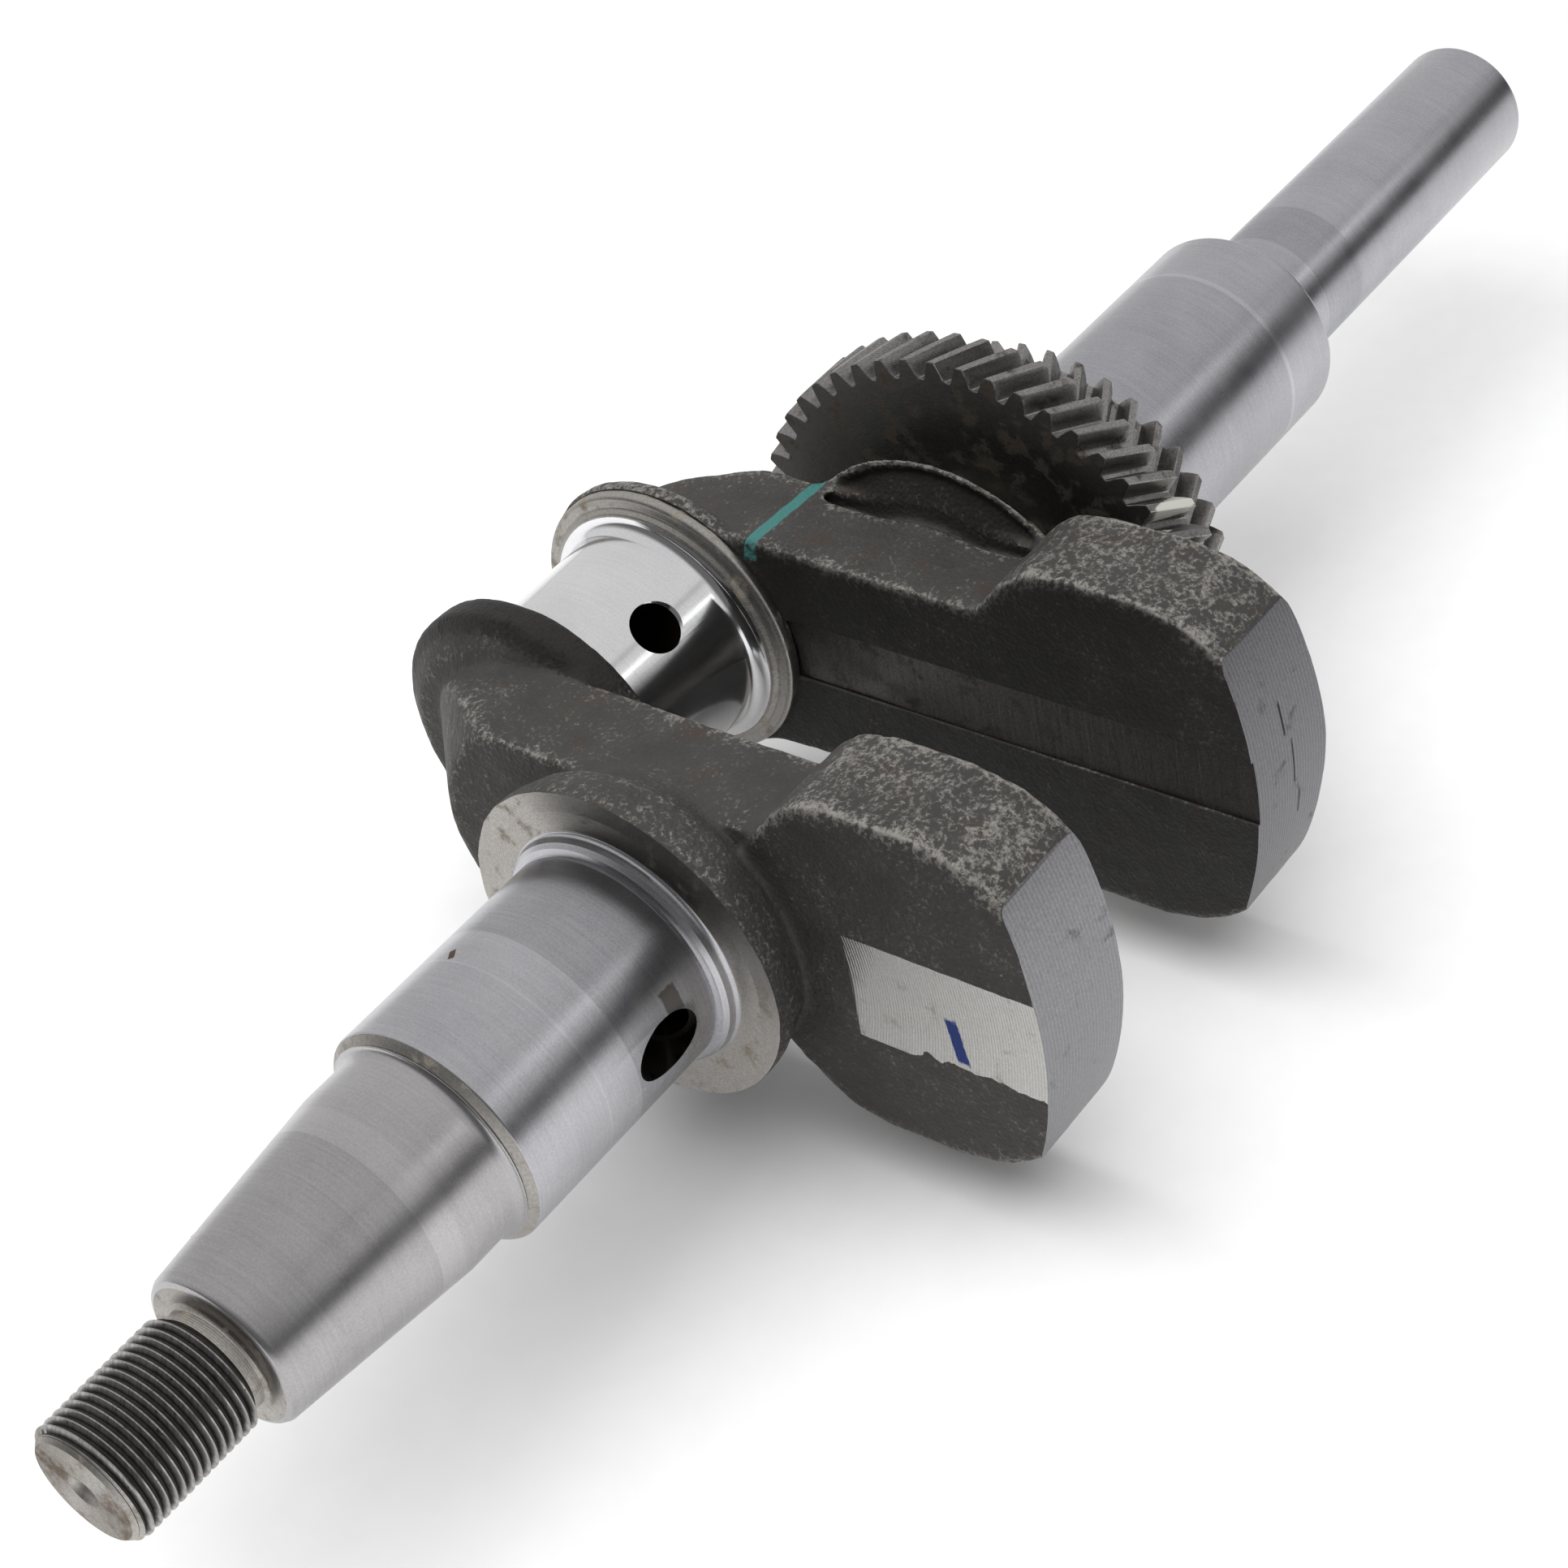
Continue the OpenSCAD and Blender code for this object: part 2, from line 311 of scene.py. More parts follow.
# %% Modifiers, drills and cutters
def modify(piece, kind, **settings):
    """Adds a modifier, sets it and applies it."""
    only(piece)
    modifier = piece.modifiers.new(kind.lower(), kind)
    for key, value in settings.items():
        setattr(modifier, key, value)
    bpy.ops.object.modifier_apply(modifier=modifier.name)
    return piece


def cut(piece, tool, operation="DIFFERENCE"):
    """Cuts the piece with the tool, or joins or intersects them, and removes the tool."""
    modify(piece, "BOOLEAN", object=tool, operation=operation, solver="EXACT")
    bpy.data.objects.remove(tool)
    return piece


def join(pieces, name):
    """Makes one object of several, with no change to their meshes."""
    only(pieces[0])
    for piece in pieces:
        piece.select_set(True)
    bpy.ops.object.join()
    pieces[0].name = name
    return pieces[0]


def rod(r, start, finish, r_end=None):
    """A cylinder or cone between two points, used as a drill."""
    start, finish = Vector(start), Vector(finish)
    deselect()
    bpy.ops.mesh.primitive_cone_add(vertices=64, radius1=r, radius2=r if r_end is None else r_end,
                                    depth=(finish - start).length, location=(start + finish) / 2,
                                    rotation=(finish - start).to_track_quat("Z", "Y").to_euler())
    settle()
    return bpy.context.object


def block(low, high):
    """A box between two corners, used as a milling cutter."""
    low, high = Vector(low), Vector(high)
    deselect()
    bpy.ops.mesh.primitive_cube_add(size=1, location=(low + high) / 2, scale=high - low)
    settle()
    return bpy.context.object


def ease(piece, width, segments=2, angle=28):
    """Breaks the sharp edges with a small round bevel."""
    return modify(piece, "BEVEL", width=width, segments=segments, limit_method="ANGLE",
                  angle_limit=math.radians(angle), harden_normals=False)


# %% [markdown]
# ## Handing a piece over
# A finished piece needs four things: smooth shading up to an angle, a body to move with, the CAD nodes that
# it stands for, and its finishes. One function does all four, so that no piece is left without one of them.

# %% Dressing a piece
def dress(piece, slot, nodes, *materials, body="crankshaft", angle=30):
    """Smooths a finished piece and gives it its body, its CAD nodes and its materials. The slot is not used.
    """
    only(piece)
    settle()
    bpy.ops.object.shade_smooth_by_angle(angle=math.radians(angle))
    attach(piece, body)
    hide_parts(*nodes)
    marks = [face.material_index for face in piece.data.polygons]
    piece.data.materials.clear()
    for material in materials:
        piece.data.materials.append(material)
    for face, mark in zip(piece.data.polygons, marks):
        face.material_index = min(mark, len(materials) - 1)
    print(piece.name, len(piece.data.polygons), "faces")


# %% [markdown]
# ## Marks by hand, and a patch of painted shade
# The inspector's paint, a pen stroke on a milled spot, a spot of rust: each is a box in space with a ragged
# edge, and whatever surface passes through the box takes its colour. One dark box beside the lip of the
# flywheel side web is painted shade, made the same way.

# %% A stroke by hand, or a patch of painted shade
def stroke(tree, here, middle, half, turn=(0, 0, 0)):
    """A mask of a pen or paint stroke, or of a patch of painted shade: a box round its middle, in
    millimetres, with a ragged edge.
    """
    place = add(tree, "Mapping", {"vector_type": "TEXTURE"},
                {"Vector": here, "Location": Vector(middle) * mm, "Rotation": turn,
                 "Scale": Vector(half) * mm})
    ragged = add(tree, "TexNoise", {}, {"Vector": here, "Scale": 1100.0, "Detail": 3.0}, "Color")
    place = add(tree, "VectorMath", {"operation": "ABSOLUTE"}, {0: place})
    place = add(tree, "VectorMath", times_plus, {0: ragged, 1: (0.5, 0.5, 0.5), 2: place})
    place = add(tree, "SeparateXYZ", {}, {"Vector": place})
    far = place
    for axis in (1, 2):
        far = add(tree, "Math", highest, {0: far, 1: place.node.outputs[axis]})
    return add(tree, "MapRange", smooth, {0: far, 1: 1.15, 2: 1.35, 3: 1.0, 4: 0.0})


# %% [markdown]
# ## Ground steel
# The journals, the taper and the stub are cylindrically ground: a fine wheel leaves a satin grey skin whose
# scratches run round the shaft. That gives the eye soft bright bands along the shaft, a fine grain, and
# here and there a faint change of tone where one wheel or polishing tape stopped and the next began. The
# grit itself is about 0.05 mm and would vanish in the picture, so it is drawn at about 0.3 mm.

# %% Ground and polished steel
def ground_steel(name, tone, dark_tone, roughness, grit, bands=(), marks=()):
    """bands are stretches of another tone: start, end and how much lighter, where below 0 is darker."""
    material, tree, shader, here = finish_for(name, 1.0, roughness, 0.15)
    grain = add(tree, "TexNoise", {}, {"Vector": here, "Scale": 2900.0, "Detail": 3.0})
    cloud = add(tree, "TexNoise", {}, {"Vector": here, "Scale": 75.0, "Detail": 5.0, "Roughness": 0.55})
    lines = add(tree, "Mapping", {}, {"Vector": here, "Scale": (2600, 60, 60)})
    lines = add(tree, "TexNoise", {}, {"Vector": lines, "Scale": 1.0, "Detail": 1.0})
    shade = add(tree, "Math", times_plus, {0: grain, 1: 0.7, 2: -0.35})
    shade = add(tree, "Math", times_plus, {0: cloud, 1: 0.7, 2: shade})
    shade = add(tree, "Math", {"operation": "MULTIPLY_ADD", "use_clamp": True}, {0: lines, 1: 0.4, 2: shade})
    along = add(tree, "SeparateXYZ", {}, {"Vector": here})
    for start, finish, lighter in bands:
        inside = add(tree, "Math", {"operation": "COMPARE"},
                     {0: along, 1: (start + finish) / 2, 2: (finish - start) / 2})
        shade = add(tree, "Math", times_plus, {0: inside, 1: lighter, 2: shade})
    colour = add(tree, "Mix", mix, {0: shade, 6: linear(dark_tone), 7: linear(tone)}, 2)
    for paint, middle, half, turn in marks:
        mask = stroke(tree, here, middle, half, turn)
        colour = add(tree, "Mix", mix, {0: mask, 6: colour, 7: linear(paint)}, 2)
    tree.links.new(colour, shader.inputs["Base Color"])
    rough = add(tree, "MapRange", {}, {0: cloud, 1: 0.3, 2: 0.7, 3: roughness * 0.88, 4: roughness * 1.12})
    tree.links.new(rough, shader.inputs["Roughness"])
    height = add(tree, "Math", {"operation": "ADD"}, {0: lines, 1: grain})
    normal = add(tree, "Bump", {}, {"Height": height, "Distance": grit, "Strength": 1.0})
    tree.links.new(normal, shader.inputs["Normal"])
    return material


# Ground journal: satin grey, darker in a band beside the shoulder, with one speck of rust.
journal_ground = ground_steel("ground_steel", "#c6c6ca", "#98989c", 0.27, 0.004 * mm,
                              [(-71 * mm, collar_start, -0.35), (-78 * mm, -77.6 * mm, 0.2)],
                              [("#4a2c1e", (-76.4, 6.6, 17.8), (1.1, 0.5, 1.0), (0, 0, 0.6)),
                               ("#6f6b68", (-60.5, -18, 5.5), (1.6, 2.5, 2.2), (0, 0, 0))])
# Ground taper: a warmer grey, in bands where the wheel overlapped its own pass.
taper_ground = ground_steel("taper_ground_steel", "#bcbabb", "#8e8c8e", 0.28, 0.004 * mm,
                            [(-111 * mm, land_end, 0.3), (-106.5 * mm, land_end, -0.15)])
# Ground output journal and stub: the same satin, with faint changes of tone along it.
long_ground = ground_steel("long_ground_steel", "#c3c3c8", "#96969b", 0.27, 0.004 * mm,
                           [(68 * mm, 115 * mm, -0.15), (115 * mm, 116 * mm, 0.3),
                            (140 * mm, 152 * mm, -0.25)])
# Polished crankpin: nearly a mirror, so the dark side of the room crosses it as a sharp streak.
pin_ground = ground_steel("polished_steel", "#f0f0f1", "#cfcfd1", 0.13, 0.001 * mm)
print("ground finishes", [finish.name for finish in (journal_ground, taper_ground, long_ground, pin_ground)])

# %% [markdown]
# ## Turned steel and gear steel
# The thrust face, the ends and the shoulders were left as the lathe tool cut them, so they show round feed
# lines and a thin creamy film of dried oil. The gears are hobbed from a darker alloy steel and their sides
# are nearly black with oil. The feed is about 0.1 mm on the real part and is drawn at 0.35 mm, so that it
# shows.

# %% Turned and cut steel
def cut_steel(name, tone, film, roughness, pitch, depth, film_share, grain_share=0.3, marks=(), scratch=None):
    """pitch is the spacing of the feed lines; a scratch scale draws straight scratches in their place."""
    material, tree, shader, here = finish_for(name, 1.0, roughness, 0.8)
    painted = []
    stains = add(tree, "TexNoise", {}, {"Vector": here, "Scale": 260.0, "Detail": 6.0, "Roughness": 0.65})
    stained = add(tree, "MapRange", smooth,
                  {0: stains, 1: 0.62 - film_share, 2: 0.8 - film_share, 3: 0.0, 4: 1.0})
    grain = add(tree, "TexNoise", {}, {"Vector": here, "Scale": 2500.0, "Detail": 2.0})
    shade = add(tree, "MapRange", {},
                {0: grain, 1: 0.25, 2: 0.75, 3: 1 - grain_share, 4: 1 + grain_share * 0.8})
    colour = add(tree, "Mix", mix, {0: stained, 6: linear(tone), 7: linear(film)}, 2)
    colour = add(tree, "Mix", multiply, {0: 1.0, 6: colour, 7: shade}, 2)
    for paint, middle, half, turn in marks:
        mask = stroke(tree, here, middle, half, turn)
        painted.append((mask, paint))
        stained = add(tree, "Math", highest, {0: stained, 1: mask})
    metal = add(tree, "MapRange", {}, {0: stained, 1: 0.0, 2: 1.0, 3: 1.0, 4: 0.55})
    tree.links.new(metal, shader.inputs["Metallic"])
    rough = add(tree, "MapRange", {}, {0: stained, 1: 0.0, 2: 1.0, 3: roughness, 4: 0.6})
    tree.links.new(rough, shader.inputs["Roughness"])
    if scratch:
        lanes = add(tree, "Mapping", {}, {"Vector": here, "Scale": scratch})
        feed = add(tree, "TexNoise", {"normalize": False}, {"Vector": lanes, "Scale": 1.0, "Detail": 3.0})
    else:
        across = add(tree, "Mapping", {}, {"Vector": here, "Scale": (0, 1, 1)})
        radius = add(tree, "VectorMath", {"operation": "LENGTH"}, {0: across}, "Value")
        place = add(tree, "SeparateXYZ", {}, {"Vector": here})
        along = add(tree, "Math", {"operation": "ADD"}, {0: place, 1: radius})
        turns = add(tree, "Math", {"operation": "MULTIPLY"}, {0: along, 1: 2 * math.pi / pitch})
        feed = add(tree, "Math", {"operation": "SINE"}, {0: turns})
    height = add(tree, "Math", times_plus, {0: grain, 1: grain_share * 2, 2: feed})
    lines = add(tree, "MapRange", {}, {0: feed, 1: -1.0, 2: 1.0, 3: 1 - grain_share * 0.6, 4: 1.05})
    colour = add(tree, "Mix", multiply, {0: 1.0, 6: colour, 7: lines}, 2)
    for mask, paint in painted:
        colour = add(tree, "Mix", mix, {0: mask, 6: colour, 7: linear(paint)}, 2)
    tree.links.new(colour, shader.inputs["Base Color"])
    tree.links.new(add(tree, "Bump", {}, {"Height": height, "Distance": depth, "Strength": 1.0}),
                   shader.inputs["Normal"])
    return material


# Turned steel: fine round feed lines under a thin creamy film of dried oil.
fresh_turned = cut_steel("turned_steel", "#b6b2ad", "#9c9485", 0.4, 0.35 * mm, 0.004 * mm, 0.1, 0.2)
# Hobbed gear steel: darker and browner, with one tooth dabbed white.
hobbed = cut_steel("gear_steel", "#959290", "#453e38", 0.3, 0.5 * mm, 0.002 * mm, 0.1, 0.3,
                   [("#e2e0d8", (51, -36.2, 23.2), (4.5, 1.8, 2.0), (0.5, 0, 0))])
# Oiled gear side: dull and nearly black.
gear_side = cut_steel("oiled_gear_side", "#7c7975", "#5a4c40", 0.5, 0.45 * mm, 0.003 * mm, 0.12, 0.15)
# Turned thrust face: as turned steel, with its own name because a dark reflection is painted on one sector of
# it further on.
thrust_steel = cut_steel("thrust_face", "#b6b2ad", "#9c9485", 0.4, 0.35 * mm, 0.004 * mm, 0.1, 0.2)
# Bright drawn key bar: clean, pale and even.
key_steel = cut_steel("key_steel", "#a2a2a4", "#6b6863", 0.35, 0.6 * mm, 0.001 * mm, 0.1)
# Drilling walls: near black steel, so the holes are dark inside.
dark_hole_wall = cut_steel("dark_drilling_wall", "#2c2825", "#17130f", 0.3, 0.8 * mm, 0.01 * mm, 0.3)
print("cut finishes", [finish.name for finish in (fresh_turned, hobbed, gear_side, key_steel, dark_hole_wall)])

# %% [markdown]
# ## A painted reflection on the thrust face
# One sector of the thrust face is darkened in its colour: a painted reflection of the dark part of the
# room. The direction round the shaft picks out that sector, so the rest of the face keeps its
# film.

# %% Painting a dark reflection on a sector
def paint_dark_reflection(material, turn, share):
    """Darkens a sector of a turned face: a painted reflection of the dark part of the room."""
    tree = material.node_tree
    base = tree.nodes["Principled BSDF"].inputs["Base Color"]
    here = add(tree, "TexCoord", {}, {}, "Object")
    round_x = add(tree, "Mapping", {}, {"Vector": here, "Scale": (0, 1, 1)})
    round_x = add(tree, "VectorMath", {"operation": "NORMALIZE"}, {0: round_x})
    towards = (0, math.cos(math.radians(turn)), math.sin(math.radians(turn)))
    near = add(tree, "VectorMath", dot, {0: round_x, 1: towards}, "Value")
    tone = add(tree, "MapRange", smooth, {0: near, 1: 0.55, 2: 0.9, 3: 1.0, 4: share})
    colour = base.links[0].from_socket
    colour = add(tree, "Mix", multiply, {0: 1.0, 6: colour, 7: tone}, 2)
    tree.links.new(colour, base)


# One sector of the thrust face is darkened: a painted reflection.
paint_dark_reflection(thrust_steel, 112, 0.3)
print("painted_reflection_on", thrust_steel.name)

# %% [markdown]
# ## Rolled thread
# The crests are lighter and the grooves darker, so this finish follows the distance from the axis. A
# little noise keeps the change between the two from being a clean line.

# %% Thread finish
def rolled_thread(crest_r, root_r):
    """Lighter crests and darker grooves, with specks of rust."""
    material, tree, shader, here = finish_for("threads", 1.0, 0.34, 0.2)
    across = add(tree, "Mapping", {}, {"Vector": here, "Scale": (0, 1, 1)})
    radius = add(tree, "VectorMath", {"operation": "LENGTH"}, {0: across}, "Value")
    thread_noise = add(tree, "TexNoise", {}, {"Vector": here, "Scale": 500.0, "Detail": 5.0, "Roughness": 0.6})
    high = add(tree, "Math", times_plus, {0: thread_noise, 1: -0.7 * mm, 2: radius})
    high = add(tree, "MapRange", smooth,
               {0: high, 1: root_r - 0.25 * mm, 2: crest_r - 0.4 * mm, 3: 0.0, 4: 1.0})
    colour = add(tree, "Mix", mix, {0: high, 6: linear("#2e2a27"), 7: linear("#a5a3a1")}, 2)
    rust = add(tree, "TexNoise", {}, {"Vector": here, "Scale": 900.0, "Detail": 3.0})
    rust = add(tree, "MapRange", smooth, {0: rust, 1: 0.66, 2: 0.72, 3: 0.0, 4: 0.8})
    colour = add(tree, "Mix", mix, {0: rust, 6: colour, 7: linear("#4e3424")}, 2)
    saw = add(tree, "Mapping", {}, {"Vector": here, "Scale": (1, 2200, 260), "Rotation": (0.9, 0, 0)})
    saw = add(tree, "TexNoise", {}, {"Vector": saw, "Scale": 1.0, "Detail": 3.0})
    saw = add(tree, "MapRange", {}, {0: saw, 1: 0.3, 2: 0.7, 3: 0.6, 4: 1.15})
    colour = add(tree, "Mix", multiply, {0: 1.0, 6: colour, 7: saw}, 2)
    tree.links.new(colour, shader.inputs["Base Color"])
    metal = add(tree, "MapRange", {}, {0: high, 1: 0.0, 2: 1.0, 3: 0.5, 4: 1.0})
    tree.links.new(metal, shader.inputs["Metallic"])
    rough = add(tree, "MapRange", {}, {0: high, 1: 0.0, 2: 1.0, 3: 0.55, 4: 0.3})
    tree.links.new(rough, shader.inputs["Roughness"])
    tree.links.new(add(tree, "Bump", {}, {"Height": thread_noise, "Distance": 0.03 * mm}), shader.inputs["Normal"])
    return material


ridge = 0.92 * mm
root_r = thread_r - ridge
thread_steel = rolled_thread(thread_r, root_r)
# Sawn end: straight saw scratches across brown stains.
thread_end_face = cut_steel("sawn_end", "#928d86", "#7a6a5a", 0.42, 0.5 * mm, 0.004 * mm, 0.14, 0.3, (),
                            (1, 2400, 300))
print("thread finish from", round(root_r / mm, 2), "to", round(thread_r / mm, 2), "mm")

# %% [markdown]
# ## Forge scale
# The webs keep the skin of the hot forging: near black iron oxide, tumbled and shot blasted, so it is dull
# and pitted. Where the part knocked against others the scale is rubbed down to grey metal, most of all
# along the edges. Each forging carries an attribute that says how far a point stands proud, and the rubbing
# follows it.

# %% Forge scale finish
def forge_scale(name, minus_x_shade_share, marks=()):
    """The second argument is how much of the colour faces that look along -X keep: painted shade on that
    side.
    """
    material, tree, shader, here = finish_for(name, 0.0, 0.55)
    shader.inputs["Specular IOR Level"].default_value = 0.3
    proud = add(tree, "Attribute", {"attribute_name": "proud"}, {}, "Fac")
    cloud = add(tree, "TexNoise", {}, {"Vector": here, "Scale": 95.0, "Detail": 5.0, "Roughness": 0.6})
    flecks = add(tree, "TexNoise", {}, {"Vector": here, "Scale": 1300.0, "Detail": 7.0, "Roughness": 0.74})
    veins = add(tree, "TexNoise", {}, {"Vector": here, "Scale": 480.0, "Detail": 6.0, "Roughness": 0.62})
    pits = add(tree, "TexVoronoi", {}, {"Vector": here, "Scale": 1300.0}, "Distance")
    base = add(tree, "Mix", mix, {0: cloud, 6: linear("#2b2927"), 7: linear("#454341")}, 2)
    rust = add(tree, "TexNoise", {}, {"Vector": here, "Scale": 150.0, "Detail": 6.0, "Roughness": 0.7})
    rust = add(tree, "MapRange", smooth, {0: rust, 1: 0.54, 2: 0.72, 3: 0.0, 4: 0.6})
    base = add(tree, "Mix", mix, {0: rust, 6: base, 7: linear("#3f3026")}, 2)
    veins = add(tree, "Math", {"operation": "SUBTRACT"}, {0: veins, 1: 0.5})
    veins = add(tree, "Math", {"operation": "ABSOLUTE"}, {0: veins})
    veins = add(tree, "Math", times_plus, {0: veins, 1: -1.6, 2: flecks})
    worn = add(tree, "Math", times_plus, {0: proud, 1: 0.34, 2: veins})
    worn = add(tree, "Math", times_plus, {0: cloud, 1: 0.34, 2: worn})
    place = add(tree, "SeparateXYZ", {}, {"Vector": here})
    looks = add(tree, "SeparateXYZ", {}, {"Vector": add(tree, "TexCoord", {}, {}, "Normal")})
    top = add(tree, "MapRange", smooth, {0: looks.node.outputs["Z"], 1: 0.5, 2: 0.9, 3: 0.0, 4: 1.0})
    reach = add(tree, "MapRange", smooth,
                {0: place.node.outputs["Y"], 1: -34 * mm, 2: -22 * mm, 3: 0.1, 4: 0.0})
    worn = add(tree, "Math", times_plus, {0: top, 1: reach, 2: worn})
    worn = add(tree, "MapRange", smooth, {0: worn, 1: 0.66, 2: 0.98, 3: 0.0, 4: 0.75})
    colour = add(tree, "Mix", mix, {0: worn, 6: base, 7: linear("#aaa6a0")}, 2)
    # Faces that look along -X are darkened in their colour: painted shade.
    painted_side_shade = add(tree, "MapRange", smooth, {0: looks, 1: -0.9, 2: -0.4, 3: minus_x_shade_share, 4: 1.0})
    colour = add(tree, "Mix", multiply, {0: 1.0, 6: colour, 7: painted_side_shade}, 2)
    for paint, middle, half, turn in marks:
        mask = stroke(tree, here, middle, half, turn)
        colour = add(tree, "Mix", mix, {0: mask, 6: colour, 7: linear(paint)}, 2)
    tree.links.new(colour, shader.inputs["Base Color"])
    metal = add(tree, "MapRange", {}, {0: worn, 1: 0.0, 2: 1.0, 3: 0.0, 4: 0.8})
    tree.links.new(metal, shader.inputs["Metallic"])
    rough = add(tree, "MapRange", {}, {0: worn, 1: 0.0, 2: 1.0, 3: 0.58, 4: 0.4})
    tree.links.new(rough, shader.inputs["Roughness"])
    height = add(tree, "Math", times_plus, {0: flecks, 1: 0.8, 2: pits})
    tree.links.new(add(tree, "Bump", {}, {"Height": height, "Distance": 0.12 * mm, "Strength": 1.0}),
                   shader.inputs["Normal"])
    return material


# Forge scale of the flywheel side: near black, with a yellow paint mark, a little painted shade on faces that
# look along -X, and a dark box of painted shade round the lip.
near_scale = forge_scale("forged_scale", 0.8, [("#8d8a2e", (-25, -23, 20), (2.2, 0.6, 3), (0, 0, 0.2)),
                                               ("#211f1e", (-17, 48, 8), (5, 27, 24), (0, 0, 0))])
# Forge scale of the output side: strong painted shade on faces that look along -X, its inner face among them,
# and a teal paint line.
far_scale = forge_scale("far_forged_scale", 0.4, [("#3a6f6b", (27.5, 23, 22), (10, 1.05, 4), (0, 0, -0.06))])

# %% Finishes cut into the forgings
# Trimmed flash: steel torn by the trimming die, with straight coarse scratches.
trimmed_flash = cut_steel("trimmed_flash", "#605d5a", "#3d3833", 0.45, 0.9 * mm, 0.03 * mm, 0.1, 0.35, (),
                          (200, 1300, 90))
# Turned rim: coarse even feed lines in a dull grey.
rim_turned = cut_steel("rim_turned", "#8a8a8d", "#74726f", 0.3, 0.8 * mm, 0.012 * mm, 0.02, 0.2)
# Turned rim of the output side: darker, with a few dark dashes by hand.
far_rim_turned = cut_steel("far_rim_turned", "#707073", "#5a5856", 0.3, 0.8 * mm, 0.012 * mm, 0.04, 0.2,
                           [("#2d2b2a", (27, -66, 9), (0.25, 4, 3), (0, 0, 0)),
                            ("#2d2b2a", (28.5, -67, 0), (0.2, 3, 4), (0, 0, 0)),
                            ("#343231", (30, -67, -9), (0.2, 3, 2.5), (0, 0, 0))])
# Milled spot: pale fresh metal with one blue pen stroke.
milled_spot = cut_steel("milled_spot", "#c3c2bf", "#a5a29c", 0.34, 0.5 * mm, 0.008 * mm, 0.04, 0.12,
                        [("#2c3f7c", (-41, -52.7, -4.5), (3, 1.05, 4.2), (-0.147, 0, 0))])
print("forging finishes", [finish.name for finish in (near_scale, far_scale, trimmed_flash, milled_spot)])

# %% [markdown]
# ## Threaded end
# A fine metric thread takes the flywheel nut. A flat stack of rings would look like a thread until it is
# seen close, so a real helix is cut: a Screw modifier sweeps one ridge section along the shaft, and an
# intersection with a chamfered envelope trims it as a die does.

# %% Threaded end
pitch = 1.5 * mm
neck = thread_end - 3 * mm
centre_hole = [(thread_start + 5 * mm, 0.4 * mm), (thread_start + 2.6 * mm, 1.3 * mm),
               (thread_start + 2.2 * mm, 1.4 * mm), (thread_start, 2.7 * mm)]
core = [(thread_start, thread_r - 1.5 * mm), (thread_start + 0.6 * mm, root_r), (neck, root_r),
        (neck + 0.6 * mm, thread_r - 1.5 * mm)]
relief = hollow(thread_end - 0.8 * mm, thread_r - 1.5 * mm, 0.8 * mm, 0.8 * mm)
screw = turned("fine_thread", centre_hole + core + relief + [(thread_end + 1 * mm, root_r)])
section = pitch * 0.96
deselect()
bpy.ops.mesh.primitive_plane_add(size=section, location=(thread_start - pitch, root_r + ridge * 0.4, 0))
coil = bpy.context.object
edit_all()
bpy.ops.transform.resize(value=(1, ridge * 1.2 / section, 1))
bpy.ops.mesh.delete(type="ONLY_FACE")
bpy.ops.object.mode_set(mode="OBJECT")
settle()
for corner in coil.data.vertices:
    corner.select = corner.co.y > root_r + ridge * 0.5
bpy.ops.object.mode_set(mode="EDIT")
bpy.ops.transform.resize(value=(0.14, 1, 1))
bpy.ops.object.mode_set(mode="OBJECT")
modify(coil, "SCREW", axis="X", screw_offset=pitch, iterations=17, steps=72, render_steps=72)
edit_all()
bpy.ops.mesh.fill_holes(sides=4)
close_outwards()
envelope = turned("envelope", [(thread_start + 0.2 * mm, thread_r - 1.5 * mm),
                               (thread_start + 1.5 * mm, thread_r),
                               (neck - 0.6 * mm, thread_r), (neck + 0.2 * mm, root_r - 0.3 * mm)])
cut(coil, envelope, "INTERSECT")
screw = join([screw, coil], "fine_thread")
print("thread", round(2 * thread_r / mm, 1), "mm over the crests")

# %% [markdown]
# ## More than one finish on a piece
# The end of the thread is sawn, its chamfer and relief are turned, and the rest is rolled. A test on each
# face's middle and direction sorts them, and still does so when a size changes.

# %% Marking faces
def mark_faces(piece, slot, test):
    """Gives the faces whose middle and normal pass the test their own material slot."""
    count = 0
    for face in piece.data.polygons:
        if test(face.center, face.normal):
            face.material_index = slot
            count += 1
    print(piece.name, "slot", slot, count, "faces")


end_face = thread_start + 0.15 * mm
mark_faces(screw, 0, lambda middle, normal: True)
mark_faces(screw, 1, lambda middle, normal: middle.x < end_face)
mark_faces(screw, 2, lambda middle, normal: middle.x > neck + 0.3 * mm
           or end_face < middle.x < thread_start + 1.4 * mm and normal.x < -0.4)

# %% [markdown]
# ## Taper, journals, stub and crankpin
# The flywheel sits on a 1:5 taper. Beside it come a short land, the main journal with its slanted oil hole,
# and on the other side of the webs a long journal and a one inch stub. All are turned profiles with a small
# bevel on every corner, and the holes are real Boolean drillings, because a painted black spot has no wall
# to catch the light.

